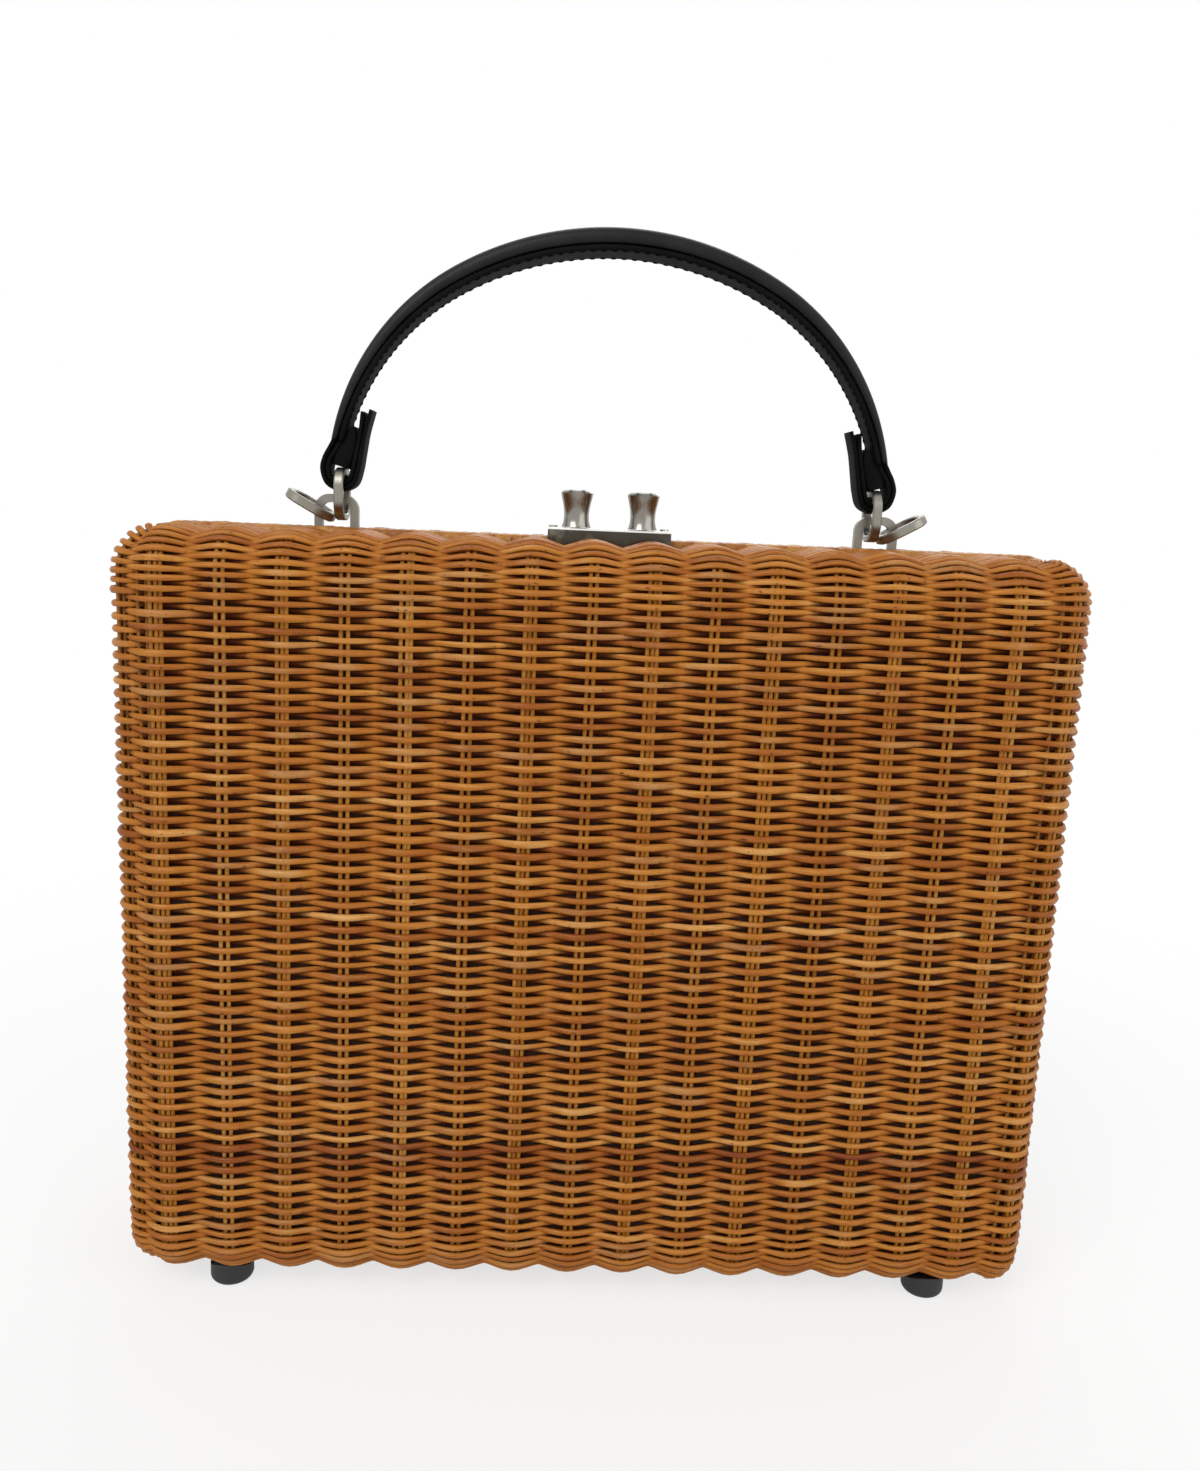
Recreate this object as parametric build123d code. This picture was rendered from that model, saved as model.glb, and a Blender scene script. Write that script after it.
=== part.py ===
"""Rattan briefcase: two woven trays hinged at the bottom, with a squeeze clasp, rings and a leather handle.

Millimetres, +Z up. The front looks along -Y, the trays meet at y = 0 and the feet stand on z = 0.
"""

import os
from math import copysign, cos, radians, sin, sqrt, tan

from build123d import *

# Body
WIDTH = 300.0
HEIGHT = 243.0
DEPTH = 95.0
EDGE_R = 14.0
WALL = 4.2
SEAM = 0.3

# Weave: bulging columns over the stakes, and slits between the strands
COLUMN_PITCH = 18.3
COLUMN_SHIFT = -5.2
SCALLOP_R = 8.0
SCALLOP_DEPTH = 1.4
SLIT_W = 8.0
SLIT_H = 1.2
SLIT_ROWS = 8
SLIT_MARGIN = 14.0

# Cane rims at the seam
RIM_D = 6.0
RIM_T = 6.0
RIM_PROUD = 0.4

# Cloth linings
LINING_T = 1.0
LINING_GAP = 0.3

# Feet
FOOT_H = 5.5
FOOT_R = 7.0
FOOT_EDGE = 2.0
FOOT_INSET_X = 33.0
FOOT_INSET_Y = 13.0

# Butt hinges under the rims
HINGE_INSET = 65.0
LEAF_W = 26.0
LEAF_D = 9.0
LEAF_T = 1.2
KNUCKLES = 5
KNUCKLE_GAP = 0.3
BARREL_R = 2.0
BARREL_CLEAR = 0.25
PIN_R = 1.0
PIN_CLEAR = 0.05
PIN_HEAD_R = 1.7
PIN_HEAD_H = 0.8

# Screws and rivets
SCREW_R = 0.9
SCREW_HEAD_R = 1.9
SCREW_HEAD_H = 0.9
SCREW_BITE = 4.0
SCREW_INSET = 5.0
RIVET_R = 0.8
RIVET_HEAD_R = 1.5
RIVET_HEAD_H = 0.6
RIVET_BITE = 3.5
HOLE_CLEAR = 0.1

# Staple eyes on the back rim
EYE_X = 89.6
EYE_W = 14.4
EYE_RISE = 10.4
EYE_BAR = 2.7
EYE_T = 2.6
EYE_CORNER = 5.0
WASHER_R = 2.9
WASHER_T = 0.8

# Rings: one size for the handle and for the carrying strap
RING_L = 17.0
RING_W = 16.0
RING_BAR = 2.2
RING_T = 3.0
RING_CORNER = 6.0
RING_EDGE = 0.4
RING_LIFT = 2.0
HANDLE_RING_IN = 1.7
STRAP_RING_OUT = 1.9
STRAP_RING_LIFT = 3.0
STRAP_RING_LEAN = 29.0

# Handle
CROWN_R = 100.0
CROWN_ANGLE = 30.0
SHOULDER_ANGLE = 80.0
LEG_RISE = 9.0
HANDLE_T = 7.6
HANDLE_END_T = 4.2
HANDLE_OUT = 4.7
HANDLE_STEPS = 8
STRAP_T = 2.0
SEW_GAP = 0.1
HANDLE_W = 15.0
HANDLE_END_W = 12.0
HANDLE_SOFT = 1.5
LOOP_R = 6.6
LOOP_T = 3.4
LOOP_W = 10.0
LOOP_NECK = 5.0
TAIL_T = 3.0
TAIL_L = 20.0
TAIL_LEAN = 10.0

# Clasp cover on the front rim
CLASP_W = 39.6
CLASP_D = 12.3
CLASP_RISE = 2.8
CLASP_DROP = 4.2
CLASP_WALL = 0.9
CLASP_END = 3.2
CLASP_EDGE = 0.6
CLASP_FIT = 0.2
POST_W = 1.6

# Knobs, bolts, springs and catch
KNOB_X = 10.75
KNOB_H = 12.0
KNOB_TOP_R = 5.25
KNOB_DOME = 0.9
KNOB_GAP = 0.2
KNOB_TRAVEL = 4.0
STEM_R = 1.6
BOLT_T = 1.3
BOLT_CLEAR = 0.25
BOLT_OUT = 14.2
BOLT_IN = 6.5
BOLT_TAB = 0.8
BOLT_SHORT = 2.0
SPRING_R = 1.4
SPRING_WIRE_R = 0.22
SPRING_TURNS = 4
CATCH_T = 1.0
PRONG_W = 1.4
PRONG_L = 8.3
PRONG_CLEAR = 0.3
HOOK_L = 1.5
CATCH_RIVET_X = 10.0

# One overrun serves every cut
OVER = 1.0

# The knob's profile from its base up: shares of its height and of its top's radius
KNOB_SHARES = ((0.0, 0.92), (0.16, 0.80), (0.32, 0.77), (0.50, 0.80), (0.74, 0.91), (0.92, 1.0))

# Places that several pieces share
BODY_TOP = FOOT_H + HEIGHT
RIM_TOP = BODY_TOP + RIM_PROUD
RIM_BOTTOM = FOOT_H - RIM_PROUD
RIM_NEAR = SEAM / 2
RIM_FAR = RIM_NEAR + RIM_D
RIM_MID = RIM_NEAR + RIM_D / 2
FOOT_X = WIDTH / 2 - FOOT_INSET_X
FOOT_Y = DEPTH / 2 - FOOT_INSET_Y
HINGE_X = WIDTH / 2 - HINGE_INSET
HINGE_Z = RIM_BOTTOM - BARREL_R - BARREL_CLEAR
EYE_Y = RIM_MID
LEG_X = EYE_X - HANDLE_RING_IN
LOOP_Z = RIM_TOP + RING_LIFT + RING_L - RING_BAR / 2
CLASP_TOP = RIM_TOP + CLASP_RISE
CLASP_FRONT = -SEAM - CLASP_D
BOLT_Z = RIM_TOP + BOLT_CLEAR
SIDES = {"left": -1, "right": 1}


def block(x, y, z):
    """A box between pairs of limits along X, Y and Z."""
    size = (x[1] - x[0], y[1] - y[0], z[1] - z[0])
    middle = ((x[0] + x[1]) / 2, (y[0] + y[1]) / 2, (z[0] + z[1]) / 2)
    return Pos(*middle) * Box(*size)


def prism_y(profile, near, far):
    """An XZ profile carried from y = near to y = far."""
    return extrude(Plane.XZ.offset(-far) * profile, amount=far - near)


def post(radius, x, y, bottom, top):
    """An upright cylinder."""
    return Pos(x, y, (bottom + top) / 2) * Cylinder(radius, top - bottom)


def body_box(inset):
    """The rounded outer form of the closed body, shrunk by an inset."""
    size = (WIDTH - 2 * inset, DEPTH - 2 * inset, HEIGHT - 2 * inset)
    return Pos(0, 0, FOOT_H + HEIGHT / 2) * fillet(Box(*size).edges(), EDGE_R - inset)


def front_half(shape, edge):
    """What of a shape lies in front of y = -edge."""
    return shape & block((-WIDTH, WIDTH), (-DEPTH, -edge), (-HEIGHT, BODY_TOP + HEIGHT))


def to_back(shape):
    """The mirror image of a front piece on the back half."""
    return mirror(shape, about=Plane.XZ)


def column_count():
    """Stake columns on the flat of the front."""
    return max(1, round((WIDTH - 2 * EDGE_R) / COLUMN_PITCH))


def column_grooves():
    """Round grooves between the columns, over front, top and bottom, and down the sides."""
    off = SCALLOP_R - SCALLOP_DEPTH
    count = column_count()
    outline = RectangleRounded(DEPTH + 2 * off, HEIGHT + 2 * off, EDGE_R + off)
    path = Plane.YZ * outline.wire()
    start = Plane(path @ 0, z_dir=path % 0)
    pipe = sweep(start * Circle(SCALLOP_R), path=path)
    middle = FOOT_H + HEIGHT / 2
    places = [(i - count / 2) * COLUMN_PITCH + COLUMN_SHIFT for i in range(count + 1)]
    flat = WIDTH / 2 - EDGE_R
    grooves = [Pos(x, 0, middle) * pipe for x in places if abs(x) < flat]
    y = -RIM_FAR - COLUMN_PITCH / 2
    while y > EDGE_R - DEPTH / 2:
        for side in SIDES.values():
            x = side * (WIDTH / 2 + off)
            grooves.append(post(SCALLOP_R, x, y, FOOT_H - OVER, BODY_TOP + OVER))
        y -= COLUMN_PITCH
    return grooves


def weave_slits():
    """Staggered slits between strands, at the crest of each column of the front wall."""
    count = column_count()
    low = FOOT_H + EDGE_R + SLIT_MARGIN
    step = (HEIGHT - 2 * (EDGE_R + SLIT_MARGIN)) / SLIT_ROWS
    slits = []
    for i in range(count):
        x = (i - (count - 1) / 2) * COLUMN_PITCH + COLUMN_SHIFT
        for row in range(SLIT_ROWS):
            z = low + (row + (i % 2) / 2 + 1 / 4) * step
            span_y = (-DEPTH / 2 - OVER, -DEPTH / 2 + WALL + OVER)
            slits.append(block((x - SLIT_W / 2, x + SLIT_W / 2), span_y, (z - SLIT_H / 2, z + SLIT_H / 2)))
    return slits


def woven_tray():
    """Front tray: a rounded shell with bulging columns and slits in its front wall."""
    shell = front_half(body_box(0) - body_box(WALL), RIM_FAR)
    shell = shell - column_grooves()
    return shell - weave_slits()


def clasp_opening():
    """The cut in the top wall that the clasp cover drops into."""
    half = CLASP_W / 2 + CLASP_FIT
    span_y = (CLASP_FRONT - CLASP_FIT, -RIM_FAR + OVER)
    return block((-half, half), span_y, (BODY_TOP - WALL - OVER, RIM_TOP + OVER))


def rim():
    """Front rim without holes: a hoop round the mouth of the tray."""
    outer = RectangleRounded(WIDTH + 2 * RIM_PROUD, HEIGHT + 2 * RIM_PROUD, EDGE_R + RIM_PROUD)
    inner = RectangleRounded(WIDTH - 2 * RIM_T, HEIGHT - 2 * RIM_T, EDGE_R - RIM_T)
    hoop = Pos(0, FOOT_H + HEIGHT / 2) * (outer - inner)
    return prism_y(hoop, -RIM_FAR, -RIM_NEAR)


def lining():
    """Front lining: a thin cloth tray inside the woven one, ending behind the rim."""
    start = WALL + LINING_GAP
    return front_half(body_box(start) - body_box(start + LINING_T), RIM_FAR + LINING_GAP)


def foot(side):
    """Front foot: a low round stud whose top follows the body's rounded edge."""
    stud = Pos(side * FOOT_X, -FOOT_Y, 0) * Cylinder(
        FOOT_R, FOOT_H + EDGE_R, align=(Align.CENTER, Align.CENTER, Align.MIN)
    )
    stud = fillet(stud.edges().sort_by(Axis.Z)[0], FOOT_EDGE)
    return stud - body_box(0)


def hinge_screw_places(side):
    """X and Y of the two screws of one front leaf."""
    reach = LEAF_W / 2 - SCREW_INSET
    return [(side * HINGE_X + way * reach, -RIM_MID - SCREW_HEAD_R / 2) for way in SIDES.values()]


def hinge_leaf(side, knuckles):
    """Front leaf with its share of the barrel's knuckles, numbered along X."""
    left = side * HINGE_X - LEAF_W / 2
    plate_z = (RIM_BOTTOM - LEAF_T, RIM_BOTTOM)
    clear = BARREL_R + 2 * BARREL_CLEAR
    leaf = block((left, left + LEAF_W), (-LEAF_D - clear, -clear), plate_z)
    pitch = LEAF_W / KNUCKLES
    for k in knuckles:
        span = (left + k * pitch + KNUCKLE_GAP / 2, left + (k + 1) * pitch - KNUCKLE_GAP / 2)
        length = span[1] - span[0]
        barrel = Pos(sum(span) / 2, 0, HINGE_Z) * Rot(0, 90, 0) * Cylinder(BARREL_R, length)
        web = block(span, (-clear - LEAF_T, -BARREL_R / 2), plate_z)
        leaf = leaf + barrel + web
    middle = Pos(side * HINGE_X, 0, HINGE_Z) * Rot(0, 90, 0)
    leaf = leaf - middle * Cylinder(PIN_R + PIN_CLEAR, LEAF_W + 2 * OVER)
    for x, y in hinge_screw_places(side):
        leaf = leaf - post(SCREW_R + HOLE_CLEAR, x, y, plate_z[0] - OVER, plate_z[1] + OVER)
    return leaf


def hinge_pin(side):
    """Pin through all knuckles, with a flat head at its outer end."""
    middle = Pos(side * HINGE_X, 0, HINGE_Z) * Rot(0, 90, 0)
    end = side * (LEAF_W + PIN_HEAD_H) / 2
    return middle * Cylinder(PIN_R, LEAF_W) + middle * Pos(0, 0, end) * Cylinder(PIN_HEAD_R, PIN_HEAD_H)


def hinge_screws():
    """The front leaves' screws, as one group."""
    screws = []
    seat = RIM_BOTTOM - LEAF_T
    for side in SIDES.values():
        for x, y in hinge_screw_places(side):
            shank = post(SCREW_R, x, y, seat - SCREW_HEAD_H, RIM_BOTTOM + SCREW_BITE)
            screws.append(shank + post(SCREW_HEAD_R, x, y, seat - SCREW_HEAD_H, seat))
    return Compound(children=screws)


def rim_screw_holes():
    """Blind holes for the front leaves' screws."""
    top = RIM_BOTTOM + SCREW_BITE + HOLE_CLEAR
    holes = []
    for side in SIDES.values():
        for x, y in hinge_screw_places(side):
            holes.append(post(SCREW_R + HOLE_CLEAR, x, y, RIM_BOTTOM - OVER, top))
    return holes


def rivet_group(places, head_z):
    """Round-headed rivets that stand in the rim, as one group."""
    rivets = []
    for x, y in places:
        shank = post(RIVET_R, x, y, RIM_TOP - RIVET_BITE, head_z)
        rivets.append(shank + post(RIVET_HEAD_R, x, y, head_z, head_z + RIVET_HEAD_H))
    return Compound(children=rivets)


def rivet_holes(places, head_z):
    """Holes for rivets, from under their heads into the rim."""
    bottom = RIM_TOP - RIVET_BITE - HOLE_CLEAR
    return [post(RIVET_R + HOLE_CLEAR, x, y, bottom, head_z + OVER) for x, y in places]


def clasp_rivet_places():
    """Rivets through the solid ends of the clasp cover."""
    return [(side * (CLASP_W - CLASP_END) / 2, -RIM_MID) for side in SIDES.values()]


def catch_rivet_places():
    """Rivets through the catch plate."""
    return [(side * CATCH_RIVET_X, RIM_MID) for side in SIDES.values()]


def eye_legs(side):
    """X of a staple's two legs."""
    reach = (EYE_W - EYE_BAR) / 2
    return [side * EYE_X + way * reach for way in SIDES.values()]


def eye(side):
    """Staple eye: a round-shouldered arch whose legs pass through the back rim."""
    foot_z = RIM_TOP - RIM_PROUD - RIM_T - WASHER_T
    height = RIM_TOP + EYE_RISE - foot_z
    outer = RectangleRounded(EYE_W, 2 * height, EYE_CORNER)
    inner = RectangleRounded(EYE_W - 2 * EYE_BAR, 2 * (height - EYE_BAR), EYE_CORNER - EYE_BAR)
    arch = (outer - inner) & Pos(0, height / 2) * Rectangle(EYE_W, height)
    return prism_y(Pos(side * EYE_X, foot_z) * arch, EYE_Y - EYE_T / 2, EYE_Y + EYE_T / 2)


def leg_hole(x, bottom, top):
    """A hole for one staple leg, with clearance."""
    half_x = EYE_BAR / 2 + HOLE_CLEAR
    half_y = EYE_T / 2 + HOLE_CLEAR
    return block((x - half_x, x + half_x), (EYE_Y - half_y, EYE_Y + half_y), (bottom, top))


def eye_washers():
    """Washers under the rim that hold the staples' legs, as one group."""
    top = BODY_TOP - RIM_T
    bottom = top - WASHER_T
    washers = []
    for side in SIDES.values():
        for x in eye_legs(side):
            disc = post(WASHER_R, x, EYE_Y, bottom, top)
            washers.append(disc - leg_hole(x, bottom - OVER, top + OVER))
    return Compound(children=washers)


def ring():
    """A flat-sided ring lying in XY, with one bar along Y centred on the origin and the rest towards +X."""
    outer = RectangleRounded(RING_L, RING_W, RING_CORNER)
    inner = RectangleRounded(RING_L - 2 * RING_BAR, RING_W - 2 * RING_BAR, RING_CORNER - RING_BAR)
    flat = extrude(outer - inner, amount=RING_T / 2, both=True)
    return Pos((RING_L - RING_BAR) / 2, 0, 0) * chamfer(flat.edges().filter_by(Plane.XY), RING_EDGE)


def handle_ring(side):
    """Upright ring through the eye, edge-on to the front."""
    return Pos(side * LEG_X, EYE_Y, RIM_TOP + RING_LIFT + RING_BAR / 2) * Rot(0, -90, 0) * ring()


def strap_ring(side):
    """Loose ring through the eye, leaning outwards."""
    turn = -STRAP_RING_LEAN if side > 0 else STRAP_RING_LEAN - 180
    place = Pos(side * (EYE_X + STRAP_RING_OUT), EYE_Y, RIM_TOP + STRAP_RING_LIFT)
    return place * Rot(0, turn, 0) * ring()


def handle_centres():
    """The handle's crown and right shoulder arcs: centres, shoulder radius and the top of the right leg."""
    leg = (LEG_X - LEG_RISE / tan(radians(SHOULDER_ANGLE)), LOOP_Z + LEG_RISE)
    crown, shoulder = radians(CROWN_ANGLE), radians(SHOULDER_ANGLE)
    radius = (leg[0] - CROWN_R * sin(crown)) / (sin(shoulder) - sin(crown))
    top = leg[1] + CROWN_R * (1 - cos(crown)) + radius * (cos(crown) - cos(shoulder))
    centre = (0, top - CROWN_R)
    shift = CROWN_R - radius
    side = (shift * sin(crown), centre[1] + shift * cos(crown))
    return centre, side, radius, leg


def handle_line(middle, end):
    """An XZ line along the handle, its offset from the centre line passing from the crown's to the ends'."""
    centre, side, radius, _ = handle_centres()
    points = []
    for step in range(-HANDLE_STEPS, HANDLE_STEPS + 1):
        share = step / HANDLE_STEPS
        angle = SHOULDER_ANGLE * abs(share)
        start, bend = (centre, CROWN_R) if angle <= CROWN_ANGLE else (side, radius)
        reach = bend + middle + (end - middle) * share**2
        x = start[0] + reach * sin(radians(angle))
        points.append((copysign(x, step), start[1] + reach * cos(radians(angle))))
    return Spline(*points)


def handle_band(inner, outer):
    """The XZ band of the handle between two lines, each given by its offsets at the crown and at the ends."""
    low, high = handle_line(*inner), handle_line(*outer)
    return make_face([low, high, Line(low @ 0, high @ 0), Line(low @ 1, high @ 1)])


def handle_depth(depth):
    """Offsets, at the crown and at the ends, of a line this far above the handle's underside."""
    return HANDLE_OUT - HANDLE_T + depth, HANDLE_OUT - HANDLE_END_T + depth


def handle_plan(middle_w, end_w):
    """The handle's outline seen from above, narrowing in one sweep to its ends."""
    reach = EYE_X + EYE_W
    share = (LEG_X / reach) ** 2
    end = middle_w / 2 - (middle_w - end_w) / 2 / share
    far = ThreePointArc((-reach, end), (0, middle_w / 2), (reach, end))
    near = ThreePointArc((-reach, -end), (0, -middle_w / 2), (reach, -end))
    plan = make_face([far, near, Line(far @ 0, near @ 0), Line(far @ 1, near @ 1)])
    tall = LOOP_Z + 2 * CROWN_R
    return Pos(0, EYE_Y, 0) * extrude(plan, amount=tall)


def handle_cover():
    """Padded leather cover of the handle."""
    half = HANDLE_W
    band = handle_band(handle_depth(STRAP_T + SEW_GAP), (HANDLE_OUT, HANDLE_OUT))
    cover = prism_y(band, EYE_Y - half, EYE_Y + half) & handle_plan(HANDLE_W, HANDLE_END_W)
    crown = cover.bounding_box().max.Z
    outer_edges = [e for e in cover.edges() if e.bounding_box().max.Z > crown - HANDLE_SOFT]
    return fillet(outer_edges, HANDLE_SOFT)


def handle_strap():
    """Flat strap under the cover."""
    half = HANDLE_W
    band = handle_band(handle_depth(0), handle_depth(STRAP_T))
    return prism_y(band, EYE_Y - half, EYE_Y + half) & handle_plan(HANDLE_W, HANDLE_END_W)


def handle_loop(side):
    """Folded leather end: a neck under the handle, a loop round the ring's bar and a tail on the inside."""
    leg = handle_centres()[3]
    lean = radians(90 - SHOULDER_ANGLE)
    along = (sin(lean), -cos(lean))
    across = (cos(lean), sin(lean))
    middle = HANDLE_OUT - HANDLE_END_T / 2
    neck = [
        (leg[0] + along[0] * SEW_GAP + (middle + way * LOOP_NECK / 2) * across[0],
         leg[1] + along[1] * SEW_GAP + (middle + way * LOOP_NECK / 2) * across[1])
        for way in (1, -1)
    ]
    belly = sqrt(LOOP_R**2 - (LOOP_R / 2) ** 2)
    belly_z = LOOP_Z + LOOP_R / 2
    teardrop = make_face(Polyline(*neck, (LEG_X - belly, belly_z), (LEG_X + belly, belly_z), close=True))
    ring_place = Pos(LEG_X, LOOP_Z)
    tail_foot = Pos(LEG_X - LOOP_R + TAIL_T / 2, LOOP_Z) * Rot(0, 0, TAIL_LEAN)
    tail = tail_foot * Pos(0, TAIL_L / 2) * Rectangle(TAIL_T, TAIL_L)
    outline = teardrop + ring_place * Circle(LOOP_R) + tail
    outline = outline - ring_place * Circle(LOOP_R - LOOP_T)
    outline = outline - handle_band(handle_depth(-SEW_GAP), (HANDLE_OUT, HANDLE_OUT))
    loop = prism_y(outline, EYE_Y - LOOP_W / 2, EYE_Y + LOOP_W / 2)
    return loop if side > 0 else mirror(loop, about=Plane.YZ)


def clasp_base():
    """Clasp cover: a shell over the front rim, open behind and below, with slots for the knobs' stems."""
    skirt_back = -RIM_FAR - CLASP_FIT
    half = CLASP_W / 2
    inside = half - CLASP_END
    front = CLASP_FRONT + CLASP_WALL
    roof = CLASP_TOP - CLASP_WALL
    low = RIM_TOP - CLASP_DROP
    cover = block((-half, half), (CLASP_FRONT, -SEAM), (RIM_TOP, CLASP_TOP))
    cover = cover + block((-half, half), (CLASP_FRONT, skirt_back), (low, CLASP_TOP))
    cover = fillet(cover.faces().sort_by(Axis.Z)[-1].edges(), CLASP_EDGE)
    cover = cover - block((-inside, inside), (front, OVER), (RIM_TOP, roof))
    cover = cover - block((-inside, inside), (front, OVER), (low - OVER, roof))
    post_y = (CLASP_FRONT + CLASP_EDGE, skirt_back)
    cover = cover + block((-POST_W / 2, POST_W / 2), post_y, (low, CLASP_TOP - CLASP_EDGE))
    gap = STEM_R + CLASP_FIT
    for side in SIDES.values():
        ends = sorted((side * (KNOB_X + gap), side * (KNOB_X - KNOB_TRAVEL - gap)))
        cover = cover - block(ends, (knob_y() - gap, knob_y() + gap), (roof - OVER, CLASP_TOP + OVER))
    return cover - rivet_holes(clasp_rivet_places(), CLASP_TOP)


def knob_y():
    """The knobs' place in depth: the middle of the clasp cover."""
    return (CLASP_FRONT - SEAM) / 2


def knob(side):
    """Turned spool knob with its stem, standing on its bolt."""
    base = CLASP_TOP + KNOB_GAP
    top = RIM_TOP + CLASP_RISE + KNOB_H
    flare = [(wide * KNOB_TOP_R, base + share * (top - base)) for share, wide in KNOB_SHARES]
    foot_z = BOLT_Z + BOLT_T
    inside = [
        flare[-1],
        (KNOB_TOP_R - KNOB_DOME, top),
        (0, top),
        (0, foot_z),
        (STEM_R, foot_z),
        (STEM_R, base),
        flare[0],
    ]
    spool = revolve(Plane.XZ * make_face([Spline(*flare), Polyline(*inside)]), Axis.Z)
    return Pos(side * KNOB_X, knob_y(), 0) * spool


def bolt(side):
    """Sliding bolt under a knob, with a tab down the front for its spring."""
    front = CLASP_FRONT + CLASP_WALL + BOLT_CLEAR
    back = -RIM_FAR - CLASP_FIT - BOLT_CLEAR
    plate = block((BOLT_IN, BOLT_OUT), (front, -SEAM - BOLT_SHORT), (BOLT_Z, BOLT_Z + BOLT_T))
    low = RIM_TOP - CLASP_DROP + BOLT_CLEAR
    tab = block((BOLT_IN, BOLT_IN + BOLT_TAB), (front, back), (low, BOLT_Z + BOLT_T))
    shape = plate + tab
    return shape if side > 0 else mirror(shape, about=Plane.YZ)


def latch_spring(side):
    """Coil spring between the middle post and the bolt's tab."""
    start = POST_W / 2 + SPRING_WIRE_R
    length = BOLT_IN - SPRING_WIRE_R - start
    y = (CLASP_FRONT + CLASP_WALL - RIM_FAR - CLASP_FIT) / 2
    z = RIM_TOP - CLASP_DROP + BOLT_CLEAR + SPRING_R + SPRING_WIRE_R
    helix = Helix(length / SPRING_TURNS, length, SPRING_R)
    coil = sweep(Plane(helix @ 0, z_dir=helix % 0) * Circle(SPRING_WIRE_R), path=helix, is_frenet=True)
    shape = Pos(start, y, z) * Rot(0, 90, 0) * coil
    return shape if side > 0 else mirror(shape, about=Plane.YZ)


def clasp_catch():
    """Catch on the back rim: a plate with two hooked prongs that reach into the clasp cover."""
    half = CLASP_W / 2
    plate = block((-half, half), (SEAM, RIM_FAR), (RIM_TOP, RIM_TOP + CATCH_T))
    hook_in = BOLT_OUT + PRONG_CLEAR
    outer = half - CLASP_END - PRONG_CLEAR
    prong_z = (RIM_TOP + PRONG_CLEAR, RIM_TOP + CATCH_T)
    for side in SIDES.values():
        bar = sorted((side * (outer - PRONG_W), side * outer))
        hook = sorted((side * hook_in, side * outer))
        plate = plate + block(bar, (-PRONG_L, RIM_FAR), prong_z)
        plate = plate + block(hook, (-PRONG_L, HOOK_L - PRONG_L), prong_z)
    return plate - rivet_holes(catch_rivet_places(), RIM_TOP + CATCH_T)


def front_pieces():
    """Nodes of the front half."""
    pieces = {
        "front_shell": woven_tray() - clasp_opening(),
        "front_rim": rim() - rim_screw_holes() - rivet_holes(clasp_rivet_places(), CLASP_TOP),
        "front_lining": lining(),
        "front_hinge_screws": hinge_screws(),
        "clasp_base": clasp_base(),
        "clasp_rivets": rivet_group(clasp_rivet_places(), CLASP_TOP),
    }
    for name, side in SIDES.items():
        pieces[f"hinge_{name}_front_leaf"] = hinge_leaf(side, range(1, KNUCKLES, 2))
        pieces[f"foot_front_{name}"] = foot(side)
        pieces[f"latch_spring_{name}"] = latch_spring(side)
        pieces[f"bolt_{name}"] = bolt(side)
        pieces[f"knob_{name}"] = knob(side)
    return pieces


def back_pieces():
    """Nodes of the back half, with the eyes and the catch."""
    holes = [to_back(hole) for hole in rim_screw_holes()]
    holes += rivet_holes(catch_rivet_places(), RIM_TOP)
    for side in SIDES.values():
        holes += [leg_hole(x, BODY_TOP - RIM_T - OVER, RIM_TOP + OVER) for x in eye_legs(side)]
    pieces = {
        "back_shell": to_back(woven_tray()),
        "back_rim": to_back(rim()) - holes,
        "back_lining": to_back(lining()),
        "back_hinge_screws": to_back(hinge_screws()),
        "clasp_catch": clasp_catch(),
        "catch_rivets": rivet_group(catch_rivet_places(), RIM_TOP + CATCH_T),
        "eye_washers": eye_washers(),
    }
    for name, side in SIDES.items():
        pieces[f"hinge_{name}_back_leaf"] = to_back(hinge_leaf(side, range(0, KNUCKLES, 2)))
        pieces[f"hinge_{name}_pin"] = hinge_pin(side)
        pieces[f"foot_back_{name}"] = to_back(foot(side))
        pieces[f"eye_{name}"] = eye(side)
    return pieces


def top_pieces():
    """Nodes of the handle and of the loose rings."""
    pieces = {"handle_cover": handle_cover(), "handle_strap": handle_strap()}
    for name, side in SIDES.items():
        pieces[f"handle_loop_{name}"] = handle_loop(side)
        pieces[f"handle_ring_{name}"] = handle_ring(side)
        pieces[f"strap_ring_{name}"] = strap_ring(side)
    return pieces


os.makedirs("parts", exist_ok=True)
for node, piece in {**back_pieces(), **front_pieces(), **top_pieces()}.items():
    export_step(piece, f"parts/{node}.step")
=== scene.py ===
"""Dresses the rattan briefcase: woven strands, cane rims, leather handle, nickel fittings and the studio.

Everything is in metres, in the part's own frame: +Z up, the front looks along -Y and the feet stand on z = 0.
"""

import logging
from dataclasses import dataclass, field, replace
from enum import Enum
from typing import Any, Optional, Union

import bpy
import numpy as np
from mathutils import Matrix, Vector


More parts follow.
